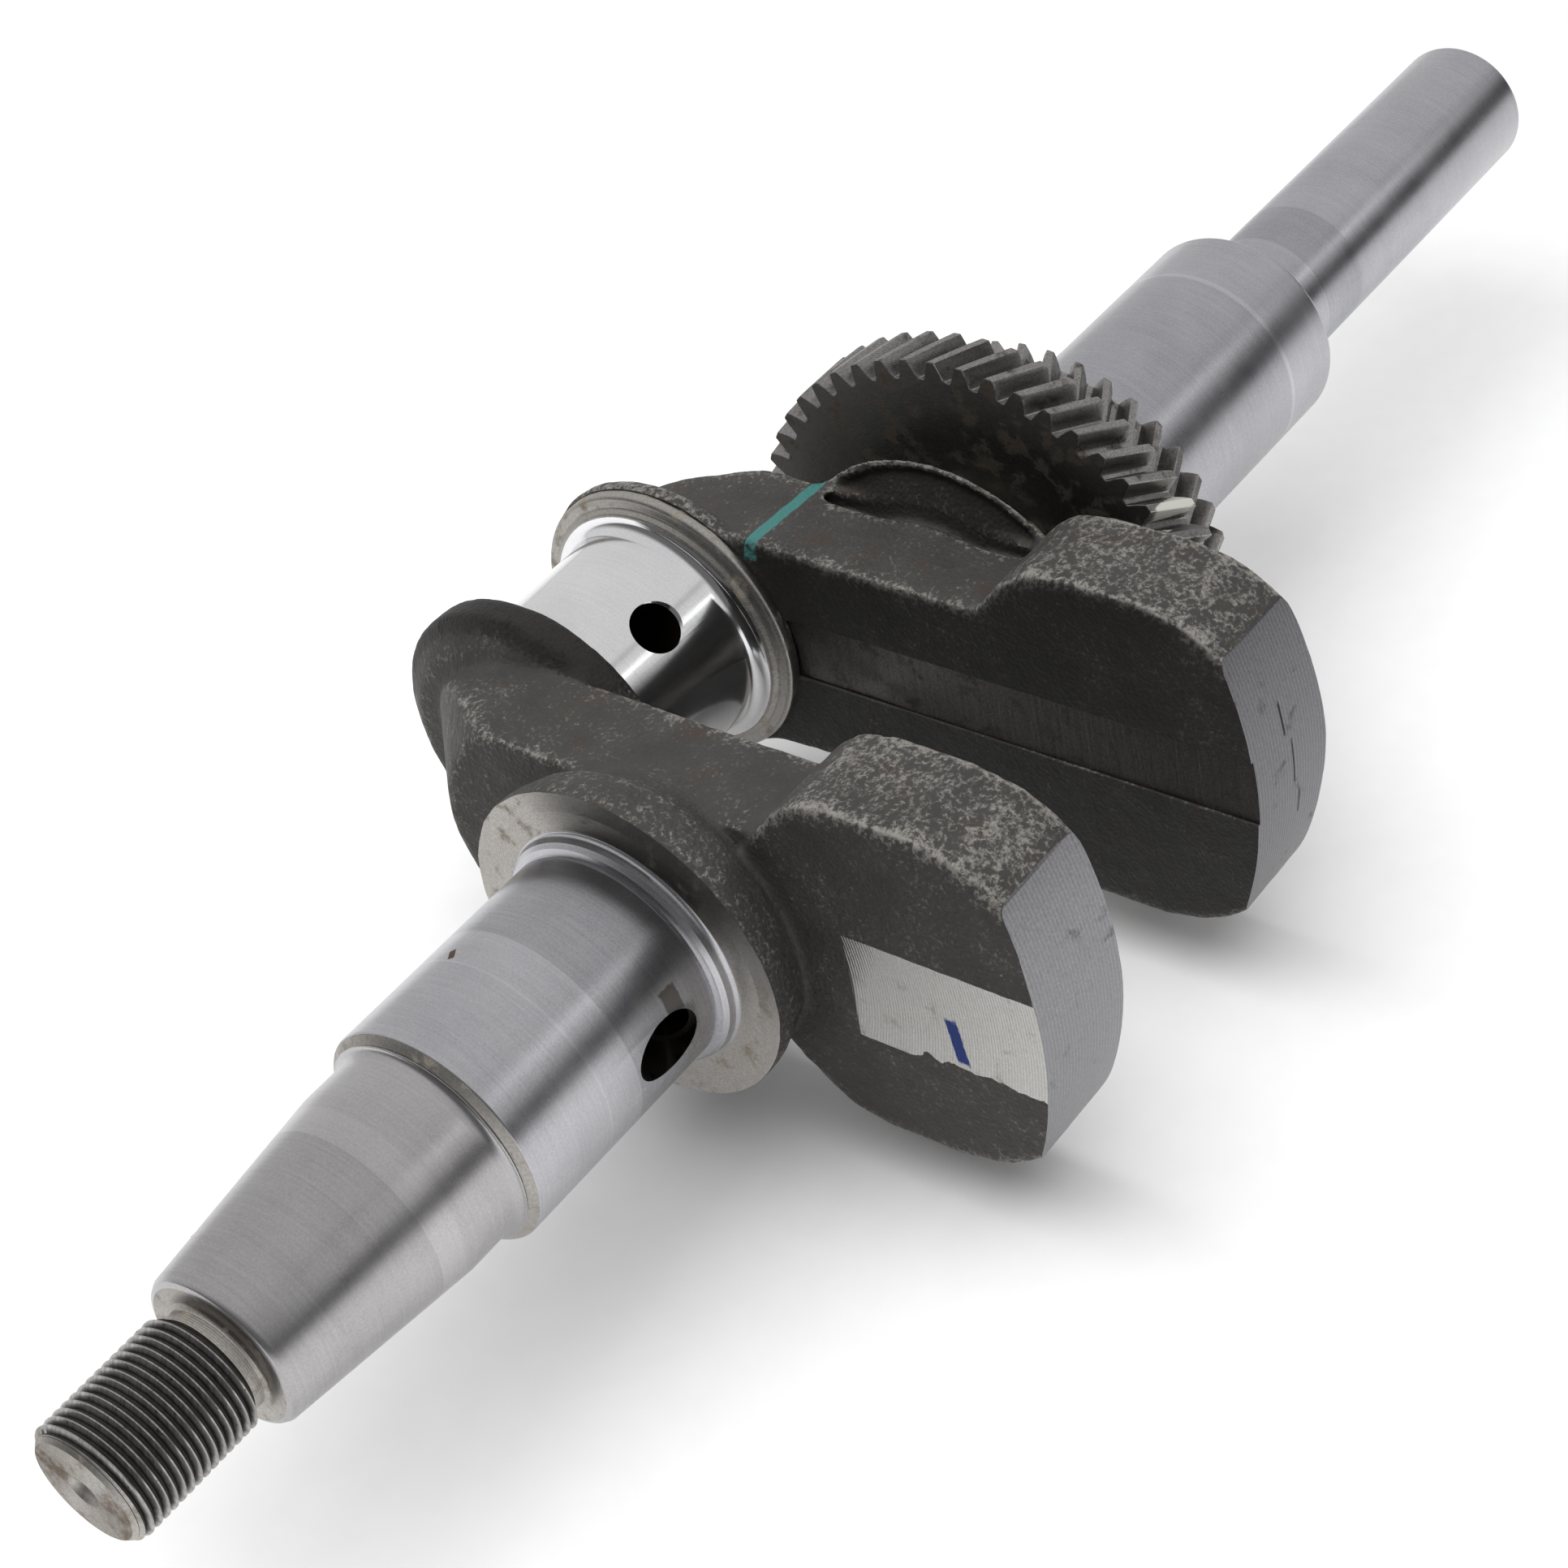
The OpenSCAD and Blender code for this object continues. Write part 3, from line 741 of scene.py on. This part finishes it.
# %% Taper with the seat of its key
land_start = land_end - 9 * mm
seat_r = land_r - 0.5 * mm
small_r = seat_r - (land_start - taper_start) / 10
cone = [(taper_start, root_r - 0.5 * mm), (taper_start, small_r - 1.3 * mm),
        (taper_start + 0.35 * mm, small_r - 0.5 * mm), (taper_start + 1.2 * mm, small_r),
        (land_start, seat_r), (land_end - 2.2 * mm, seat_r)]
shoulder = hollow(land_end - 2.2 * mm, seat_r, 2 * mm, 1.1 * mm)[1:]
taper = turned("keyed_taper", cone + shoulder + [(land_end, land_r + 0.7 * mm)])
ease(taper, 0.3 * mm, 3, 35)
key_x = (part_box("flywheel_key")[0][0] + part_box("flywheel_key")[1][0]) / 2
key_r = (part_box("flywheel_key")[1][0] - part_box("flywheel_key")[0][0]) / 2
key_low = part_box("flywheel_key")[0][1]
key_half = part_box("flywheel_key")[1][2]
key_y = key_low + key_r
gap = 0.06 * mm
cut(taper, rod(key_r + gap, (key_x, key_y, -key_half - gap), (key_x, key_y, key_half + gap)))
mark_faces(taper, 1, lambda middle, normal: middle.x < taper_start + 0.1 * mm)
print("taper", round(2 * small_r / mm, 2), "to", round(2 * seat_r / mm, 2), "mm across")
print("key radius", round(key_r / mm, 2))

# %% Flywheel journal and its slanted oil drilling
journal = turned("oiled_journal", [(journal_start, journal_r - 2.2 * mm),
                                   (journal_start, journal_r - 1.5 * mm),
                                   (journal_start + 1.3 * mm, journal_r),
                                   (journal_end - 0.5 * mm, journal_r),
                                   (journal_end - 0.2 * mm, journal_r - 0.3 * mm),
                                   (journal_end + 0.5 * mm, journal_r - 0.3 * mm)])
ease(journal, 0.4 * mm, 3)
mark_faces(journal, 1, lambda middle, normal: middle.x < journal_start + 1.1 * mm)
mouth_x = -64 * mm
mouth = Vector((mouth_x, -journal_r, 0))
gallery = (Vector((0, throw, 0)) - mouth).normalized()
cut(journal, rod(4.5 * mm, mouth - gallery * 8 * mm, mouth + gallery * 6 * mm))
cut(journal, rod(3.5 * mm, mouth, mouth + gallery * 24 * mm))
cut(journal, rod(5.5 * mm, mouth + Vector((0, -0.6, 0)) * mm, mouth + Vector((0, 0.9, 0)) * mm, 4.2 * mm))
mark_faces(journal, 2, lambda middle, normal: math.hypot(middle.y, middle.z) < journal_r - 1.1 * mm
           and journal_start + 3 * mm < middle.x < journal_end - 1.5 * mm)

# %% Long journal and stub
long_journal = turned("long_journal", [(pto_journal_start, pto_journal_r - 1 * mm),
                                       (pto_journal_start + 1 * mm, pto_journal_r),
                                       (pto_journal_end - 0.9 * mm, pto_journal_r),
                                       (pto_journal_end, pto_journal_r - 0.9 * mm),
                                       (pto_journal_end, pto_r - 0.5 * mm)])
ease(long_journal, 0.4 * mm, 3)
end_hole_r = 4.25 * mm
stub = turned("keyed_stub", [(pto_start - 1 * mm, pto_r), (pto_end - 1.5 * mm, pto_r),
                             (pto_end, pto_r - 1.5 * mm), (pto_end, 5.6 * mm),
                             (pto_end - 1.3 * mm, end_hole_r), (pto_end - 24 * mm, end_hole_r),
                             (pto_end - 26 * mm, 0.4 * mm)])
ease(stub, 0.3 * mm, 3)
keyway_half = 3.2 * mm
keyway_floor = pto_r - 3.2 * mm
keyway_start = pto_end - 62 * mm
cut(stub, block((keyway_start, keyway_floor, -keyway_half), (pto_end + 1 * mm, pto_r + 2 * mm, keyway_half)))
cut(stub, rod(keyway_half, (keyway_start, keyway_floor, 0), (keyway_start, pto_r + 2 * mm, 0)))
print("output keyway", round((pto_end - keyway_start) / mm, 1), "mm long")

# %% Crankpin
fillet = 2.4 * mm
run_out = hollow(pin_start - fillet, pin_r, fillet, fillet)
pin = turned("ground_crankpin", [(pin_start - 3 * mm, pin_r + fillet)]
             + [(pin_start + pin_start - x, r) for x, r in reversed(run_out)]
             + hollow(pin_end - fillet, pin_r, fillet, fillet) + [(pin_end + 3 * mm, pin_r + fillet)],
             axis_y=throw)
hole_turn = math.radians(132)
drill = Vector((0, math.cos(hole_turn), math.sin(hole_turn)))
centre = Vector((0, throw, 0))
cut(pin, rod(4.4 * mm, centre + drill * (pin_r + 2 * mm), centre + drill * 4 * mm))
cut(pin, rod(5.3 * mm, centre + drill * (pin_r + 0.5 * mm), centre + drill * (pin_r - 0.7 * mm), 4.3 * mm))
mark_faces(pin, 1, lambda middle, normal: math.hypot(middle.y - throw, middle.z) < pin_r - 1 * mm
           and abs(middle.x) < 6 * mm)

# %% [markdown]
# ## Thrust shoulder and cheeks
# Between journal and web a small bead and a wide flat thrust face locate the shaft. The face is turned
# straight into the forged ring, so only its inner part is a disc here, and the ring is faced off level with
# it later. The crankpin runs out into two machined cheeks that guide the rod: turned discs with a rounded
# rim and an undercut.

# %% Thrust shoulder and cheeks
thrust_x = collar_start + 2.8 * mm
face_r = 25 * mm
thrust = turned("thrust_shoulder", [(collar_start - 0.8 * mm, journal_r - 1 * mm),
                                    (collar_start - 0.1 * mm, journal_r - 0.25 * mm),
                                    (collar_start + 0.3 * mm, journal_r + 0.9 * mm),
                                    (collar_start + 1 * mm, journal_r + 1.5 * mm),
                                    (thrust_x - 0.9 * mm, journal_r + 1.6 * mm)]
                + hollow(thrust_x - 0.9 * mm, journal_r + 1.6 * mm, 0.9 * mm, 0.9 * mm, 4)
                + [(thrust_x, face_r), (thrust_x + 1 * mm, face_r)])
ease(thrust, 0.25 * mm, 2, 40)
mark_faces(thrust, 1, lambda middle, normal: abs(normal.x) > 0.9 and middle.x > thrust_x - 0.1 * mm)


def cheek(name, face, back, r, way):
    """A disc round the crankpin from the web at back to its machined face, with a stepped rim."""
    made = turned(name, [(back, r), (face + way * 1.6 * mm, r), (face + way * 1.1 * mm, r - 0.6 * mm),
                         (face + way * 1.1 * mm, r - 2.2 * mm), (face, r - 2.9 * mm), (face, pin_r + 1 * mm)],
                  axis_y=throw)
    return ease(made, 0.35 * mm, 3)


near_cheek = cheek("flywheel_side_cheek", pin_start, pin_start - 1.6 * mm, 23.9 * mm, -1)
far_cheek = cheek("pto_side_cheek", pin_end, pto_web_in + 0.4 * mm, 25.4 * mm, 1)
print("gap between the cheeks", round((pin_end - pin_start) / mm, 2), "mm")

# %% [markdown]
# ## The forging
# The webs are die forged, so nothing on them is sharp: sides lean for draft, corners are round and every
# joint has a fillet. Subdivision surfaces would need a careful cage. Rough solids that overlap are quicker:
# each is drawn, leaned and joined, a voxel remesh fuses them like hot metal, a smooth pass rounds edges and
# fills corners, and a little displacement brings back the uneven skin. Turned and milled faces are cut
# last, so they stay crisp.

# %% Drawing and leaning the rough solids
def drawn(name, points):
    """Draws a closed outline from one vertex, point by point, and fills it. Stays in edit mode."""
    deselect()
    bpy.ops.mesh.primitive_plane_add(size=mm, location=points[0])
    settle()
    piece = bpy.context.object
    piece.name = name
    edit_all()
    bpy.ops.mesh.merge(type="CENTER")
    for start, finish in zip(points, points[1:]):
        step = [b - a for a, b in zip(start, finish)]
        bpy.ops.mesh.extrude_vertices_move(TRANSFORM_OT_translate={"value": step})
    bpy.ops.mesh.select_all(action="SELECT")
    bpy.ops.mesh.edge_face_add()
    return piece


def slab(name, half_outline, x_near, x_far):
    """Draws one side of an outline in the YZ plane, mirrors it, and pulls it along X."""
    points = [(x_near, y * mm, z * mm) for y, z in half_outline]
    points += [(x, y, -z) for x, y, z in reversed(points)]
    piece = drawn(name, points)
    bpy.ops.mesh.extrude_region_move(TRANSFORM_OT_translate={"value": (x_far - x_near, 0, 0)})
    bpy.ops.mesh.select_all(action="SELECT")
    bpy.ops.mesh.bisect(plane_co=(0, 0, 0), plane_no=(0, 0, 1))
    close_outwards()
    return piece


def lean(piece, middle, near_degrees, far_degrees):
    """Draft: both end faces lean in towards the middle plane as they leave the parting line at z = 0."""
    for corner in piece.data.vertices:
        if corner.co.x > middle:
            corner.co.x -= math.tan(math.radians(far_degrees)) * abs(corner.co.z)
        else:
            corner.co.x += math.tan(math.radians(near_degrees)) * abs(corner.co.z)


# %% [markdown]
# ## Which points stand proud
# Rubbing shows on edges. Smoothing a copy and measuring how far each point sinks along its normal gives
# that directly: an edge sinks a lot, a flat does not move, and a hollow rises. The result is kept as an
# attribute.

# %% Proud attribute
def mark_proud(piece, passes):
    """Keeps how far each point stands proud: 1 is half a millimetre, and a hollow is below 0."""
    soft = piece.copy()
    soft.data = piece.data.copy()
    bpy.context.scene.collection.objects.link(soft)
    modify(soft, "SMOOTH", factor=0.5, iterations=passes)
    sunk = piece.data.attributes.new("proud", "FLOAT", "POINT")
    for point, moved in zip(piece.data.vertices, soft.data.vertices):
        depth = (point.co - moved.co).dot(point.normal) / (0.5 * mm)
        sunk.data[point.index].value = max(-1, min(1, depth))
    bpy.data.objects.remove(soft)


# %% Fusing and cutting one forging
def cloud_texture(size):
    """A texture for Displace, with lumps of the given size."""
    texture = bpy.data.textures.new("skin", "CLOUDS")
    texture.noise_scale = size
    texture.noise_depth = 3
    return texture


def forge(parts, name, voxel, scoops=()):
    """Fuses the solids, presses the scoops into them and roughens the skin."""
    piece = join(parts, name)
    modify(piece, "REMESH", mode="VOXEL", voxel_size=voxel)
    modify(piece, "SMOOTH", factor=0.5, iterations=18)
    for scoop in scoops:
        cut(piece, scoop)
    if scoops:
        modify(piece, "REMESH", mode="VOXEL", voxel_size=voxel)
        modify(piece, "SMOOTH", factor=0.5, iterations=5)
    modify(piece, "DISPLACE", texture=cloud_texture(14 * mm), strength=0.5 * mm, texture_coords="LOCAL")
    modify(piece, "DISPLACE", texture=cloud_texture(2.6 * mm), strength=0.22 * mm, texture_coords="LOCAL")
    mark_proud(piece, 30)
    print(name, len(piece.data.polygons), "faces after fusing")
    return piece


# %% Turning the rim and bevelling the nose
def turn_rim(piece, x_near, x_far):
    """Turns the counterweight's rim to its radius, and leaves the rest of the web alone."""
    keep = turned("keep", [(x_near - 9 * mm, weight_r), (x_far + 9 * mm, weight_r)], sides=360)
    cut(keep, block((x_near - 8 * mm, -0.02, -0.06), (x_far + 8 * mm, 0.08, 0.06)), "UNION")
    cut(piece, keep, "INTERSECT")


def bevel_nose(piece, x_in, x_out, r_in, r_out):
    """Cuts the end of a web back to a cone, and leaves all that lies on the counterweight side of it."""
    nose_y = 21 * mm
    keep = turned("keep", [(x_in, r_in), (x_out, r_out)], axis_y=nose_y)
    cut(keep, block((min(x_in, x_out), -0.08, -0.06), (max(x_in, x_out), nose_y, 0.06)), "UNION")
    cut(piece, keep, "INTERSECT")


def on_rim(middle, normal):
    """Says whether a face lies on the turned rim of a counterweight."""
    return math.hypot(middle.y, middle.z) > weight_r - 0.02 * mm and middle.y < 0


# %% Outlines of the webs
def web_outline(middle, r):
    """One side of the arm between the crank axis and the crankpin, with a round end, in millimetres."""
    turns = [math.radians(a) for a in range(0, 90, 12)]
    end = [(middle + r * math.cos(a), r * math.sin(a)) for a in turns]
    return end + [(middle - 5, r - 0.1), (0, 20.6), (-30, 20.6)]


# One side of a counterweight, from the arm to the rim, in millimetres: y along the throw, then z.
weight_outline = [(-16, 15), (-20, 21), (-24.5, 26.6), (-29, 30), (-35, 31.2), (-48, 31.2), (-56, 29.6),
                  (-61, 26.8), (-72, 17)]
voxel = 0.62 * mm
print("voxel", round(voxel / mm, 2), "mm")

# %% [markdown]
# ## Flywheel side web
# This web is an arm, a counterweight, a round lip beside the crankpin and a ring round the journal. The
# ring is faced off level with the thrust face, the rim is turned, and a spot is milled on the counterweight
# for balance.

# %% Flywheel side web
web_face = web_out + 1.2 * mm
web_one = slab("web", web_outline(38, 20.8), web_in, web_face)
lean(web_one, (web_in + web_face) / 2, 4, 1)
bevel_nose(web_one, web_in + 0.5 * mm, web_out - 1 * mm, 41.6 * mm, 20 * mm)
weight_one = slab("weight", weight_outline, web_in, web_out)
lean(weight_one, (web_in + web_out) / 2, 3.4, 1)
lip_one = turned("lip", [(pin_start - 0.5 * mm, 24.6 * mm), (pin_start - 1.2 * mm, 26 * mm),
                         (web_in + 0.6 * mm, 26.1 * mm), (web_in - 3.4 * mm, 20.5 * mm)], axis_y=throw)
ring_one = turned("ring", [(thrust_x - 1.5 * mm, ring_r - 0.3 * mm), (thrust_x + 2.4 * mm, ring_r - 0.1 * mm),
                           (web_out - 1 * mm, ring_r - 1.8 * mm), (web_out + 4 * mm, 22.4 * mm),
                           (web_in - 5 * mm, 19 * mm)])
flywheel_forging = forge([web_one, weight_one, lip_one, ring_one], "flywheel_side_forging", voxel)
turn_rim(flywheel_forging, web_out, web_in)
cut(flywheel_forging, block((collar_start - 4 * mm, -0.04, -0.04), (thrust_x + 0.02 * mm, 0.04, 0.04)))
cut(flywheel_forging, block((pin_start - 0.9 * mm, 0.01, -0.04), (pin_start + 4 * mm, 0.08, 0.04)))
spot_x = web_out + 0.62 * mm
spot_low = -11 * mm
spot_high = 9 * mm
cut(flywheel_forging, block((web_out - 4 * mm, -0.075, spot_low), (spot_x, -34.6 * mm, spot_high)))
mark_faces(flywheel_forging, 1, on_rim)
mark_faces(flywheel_forging, 2, lambda middle, normal: abs(middle.x - spot_x) < 0.001 * mm
           and normal.x < -0.99 and spot_low < middle.z < spot_high and middle.y < -35 * mm)
mark_faces(flywheel_forging, 3, lambda middle, normal: middle.x < thrust_x + 0.03 * mm)

# %% [markdown]
# ## Output side web
# The second web is the same kind of forging. Its boss stands beside the gear, with a crescent hollow behind
# a thin wall above and below, which flattened rings cut as scoops. The band of trimmed flash shows on its
# inner face.

# %% Output side web
web_face = pto_web_out - 1.2 * mm
web_two = slab("web", web_outline(41.4, 21.6), pto_web_in, web_face)
lean(web_two, (pto_web_in + web_face) / 2, 1, 2.5)
bevel_nose(web_two, pto_web_in - 0.5 * mm, pto_web_out + 1 * mm, 43.2 * mm, 21 * mm)
weight_two = slab("weight", weight_outline, pto_web_in, pto_web_out)
lean(weight_two, (pto_web_in + pto_web_out) / 2, 1, 3.4)
lip_two = turned("lip", [(pto_web_in - 1.2 * mm, 24.6 * mm), (pto_web_in - 0.6 * mm, 26.1 * mm),
                         (pto_web_in + 2 * mm, 26.1 * mm), (pto_web_in + 5.5 * mm, 20.5 * mm)], axis_y=throw)
boss = turned("boss", [(pto_web_in + 5 * mm, 17 * mm), (pto_web_out - 3.5 * mm, 22 * mm),
                       (pto_web_out - 0.5 * mm, 28.4 * mm), (seat_start - 2.4 * mm, 29.2 * mm),
                       (seat_start - 1.6 * mm, 30.4 * mm), (seat_start - 0.4 * mm, 30.4 * mm),
                       (seat_start - 0.4 * mm, 20 * mm)])
ridge_top = 21.6 * mm
pocket_x = seat_start - 4.3 * mm
scoops = []
for side in (1, -1):
    cut(boss, block((pto_web_in, -0.04, side * ridge_top + min(0, side * 20 * mm)),
                    (pocket_x + 0.3 * mm, 0.04, side * ridge_top + max(0, side * 20 * mm))))
    deselect()
    bpy.ops.mesh.primitive_torus_add(major_radius=24.6 * mm, minor_radius=4.4 * mm, major_segments=96,
                                     minor_segments=24, location=(pocket_x, 0, 0),
                                     rotation=(0, math.pi / 2, 0))
    scoop = bpy.context.object
    settle()
    edit_all()
    bpy.ops.transform.resize(value=(0.32, 1, 1), center_override=(pocket_x, 0, 0))
    bpy.ops.mesh.bisect(plane_co=(0, 0, side * 18 * mm), plane_no=(0, 0, -side), clear_outer=True,
                        use_fill=True)
    bpy.ops.object.mode_set(mode="OBJECT")
    scoops.append(scoop)
pto_forging = forge([web_two, weight_two, lip_two, boss], "pto_side_forging", voxel, scoops)
turn_rim(pto_forging, pto_web_in, pto_web_out)
cut(pto_forging, block((pin_end - 4 * mm, 0.012, -0.04), (pto_web_in - 0.4 * mm, 0.08, 0.04)))
cut(pto_forging, block((seat_start - 0.6 * mm, -0.04, -0.04), (seat_start + 4 * mm, 0.04, 0.04)))
flash_x = pto_web_in + 0.55 * mm
cut(pto_forging, block((pto_web_in - 3 * mm, -0.075, -4.6 * mm), (flash_x, 20 * mm, 7.5 * mm)))
mark_faces(pto_forging, 1, on_rim)
mark_faces(pto_forging, 2, lambda middle, normal: abs(middle.x - flash_x) < 0.001 * mm and normal.x < -0.99)

# %% [markdown]
# ## Gears
# Both gears are helical, of opposite hand. One tooth is drawn from the involute formula, with half a space
# on each side, and spun round the shaft into a flat toothed ring. The ring is then extruded in short steps
# that each turn a little, which is what makes the teeth helical. Each tooth has only a few dozen faces.

# %% One toothed ring
module = 1.5 * mm
helix = math.radians(27)


def involute(base_r, r):
    """The angle between the foot of an involute on its base circle and its point at radius r."""
    a = math.acos(min(1, base_r / r))
    return math.tan(a) - a


def toothed_ring(name, bore_r, tip_r, x_near, x_far, hand, turn):
    """A helical gear: one tooth is drawn, spun round the axis and pulled along X with a twist."""
    pitch_r = tip_r - module
    foot_r = pitch_r - 1.25 * module
    base_r = pitch_r * math.cos(math.radians(22))
    teeth = round(2 * pitch_r * math.cos(helix) / module)
    gap = math.pi / teeth
    radii = [max(base_r, foot_r + 0.3 * mm), (foot_r + 2 * pitch_r) / 3, pitch_r, (pitch_r + tip_r) / 2,
             tip_r]
    flank = [(r, gap / 2 + involute(base_r, pitch_r) - involute(base_r, r)) for r in radii]
    foot = flank[0][1] + 0.006
    profile = [(foot_r, -gap), (foot_r, -foot)] + [(r, -a) for r, a in flank]
    profile += [(r, a) for r, a in reversed(flank)] + [(foot_r, foot), (foot_r, gap)]
    profile += [(bore_r, gap), (bore_r, -gap)]
    points = [Vector((x_near, r * math.cos(a + turn), r * math.sin(a + turn))) for r, a in profile]
    piece = drawn(name, points)
    bpy.ops.mesh.spin(steps=teeth - 1, dupli=True, angle=2 * math.pi * (teeth - 1) / teeth, center=(0, 0, 0),
                      axis=(1, 0, 0))
    bpy.ops.mesh.select_all(action="SELECT")
    bpy.ops.mesh.remove_doubles(threshold=0.002 * mm)
    width = x_far - x_near
    steps = max(2, round(width / (1.5 * mm)))
    twist = hand * width / steps * math.tan(helix) / pitch_r
    for _ in range(steps):
        bpy.ops.mesh.extrude_region_move(TRANSFORM_OT_translate={"value": (width / steps, 0, 0)})
        bpy.ops.transform.rotate(value=-twist, orient_axis="X", center_override=(0, 0, 0))
    close_outwards()
    ease(piece, 0.13 * mm, 1, 35)
    mark_faces(piece, 1, lambda middle, normal: abs(normal.x) > 0.9)
    print(name, teeth, "teeth on a pitch radius of", round(pitch_r / mm, 2), "mm")
    return piece


# %% Both gears and their seat
key_low, key_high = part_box("gear_key")
bore = 21.02 * mm
timing = toothed_ring("helical_timing_gear", bore, timing_tip_r, timing_start, timing_end, 1,
                      math.radians(-0.8))
second = toothed_ring("helical_second_gear", bore, second_tip_r, second_start, second_end, -1,
                      math.radians(4))
for gear in (timing, second):
    cut(gear, block(key_low - Vector((1, 1, 0.05)) * mm, key_high + Vector((1, 0.1, 0.05)) * mm))
gear_seat_r = 20.9 * mm
seat = turned("gear_seat_step", [(seat_start - 3 * mm, 20 * mm), (seat_start - 0.4 * mm, gear_seat_r),
                                 (seat_end - 0.6 * mm, gear_seat_r), (seat_end, 20.3 * mm),
                                 (seat_end + 0.2 * mm, pto_journal_r - 0.3 * mm)])

# %% [markdown]
# ## Keys and finishes
# A half moon key fits the taper and a straight square key holds the gears. Both CAD keys have the right
# shape, so they stay and only get the finish of bright drawn bar. Every other piece is handed to its CAD
# nodes here.

# %% Dress and finish
dress(screw, "threads", ["threaded_end"], thread_steel, thread_end_face, fresh_turned, angle=25)
dress(taper, "ground_steel", ["flywheel_taper"], taper_ground, fresh_turned)
dress(journal, "ground_steel", ["flywheel_journal"], journal_ground, fresh_turned, dark_hole_wall)
dress(long_journal, "ground_steel", ["pto_journal"], long_ground)
dress(stub, "ground_steel", ["pto_shaft"], long_ground)
dress(pin, "polished_steel", ["crankpin"], pin_ground, dark_hole_wall)
dress(thrust, "turned_steel", ["thrust_collar"], journal_ground, thrust_steel)
dress(near_cheek, "turned_steel", [], fresh_turned)
dress(far_cheek, "turned_steel", [], fresh_turned)
dress(flywheel_forging, "forged_scale", ["flywheel_web", "flywheel_counterweight"],
      near_scale, rim_turned, milled_spot, thrust_steel)
dress(pto_forging, "forged_scale", ["pto_web", "pto_counterweight"], far_scale, far_rim_turned, trimmed_flash)
dress(timing, "gear_steel", ["timing_gear"], hobbed, gear_side, angle=25)
dress(second, "gear_steel", ["balancer_gear"], hobbed, gear_side, angle=25)
dress(seat, "turned_steel", ["gear_seat"], fresh_turned)
for node in ("gear_key", "flywheel_key"):
    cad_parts[node].data.materials.clear()
    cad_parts[node].data.materials.append(key_steel)
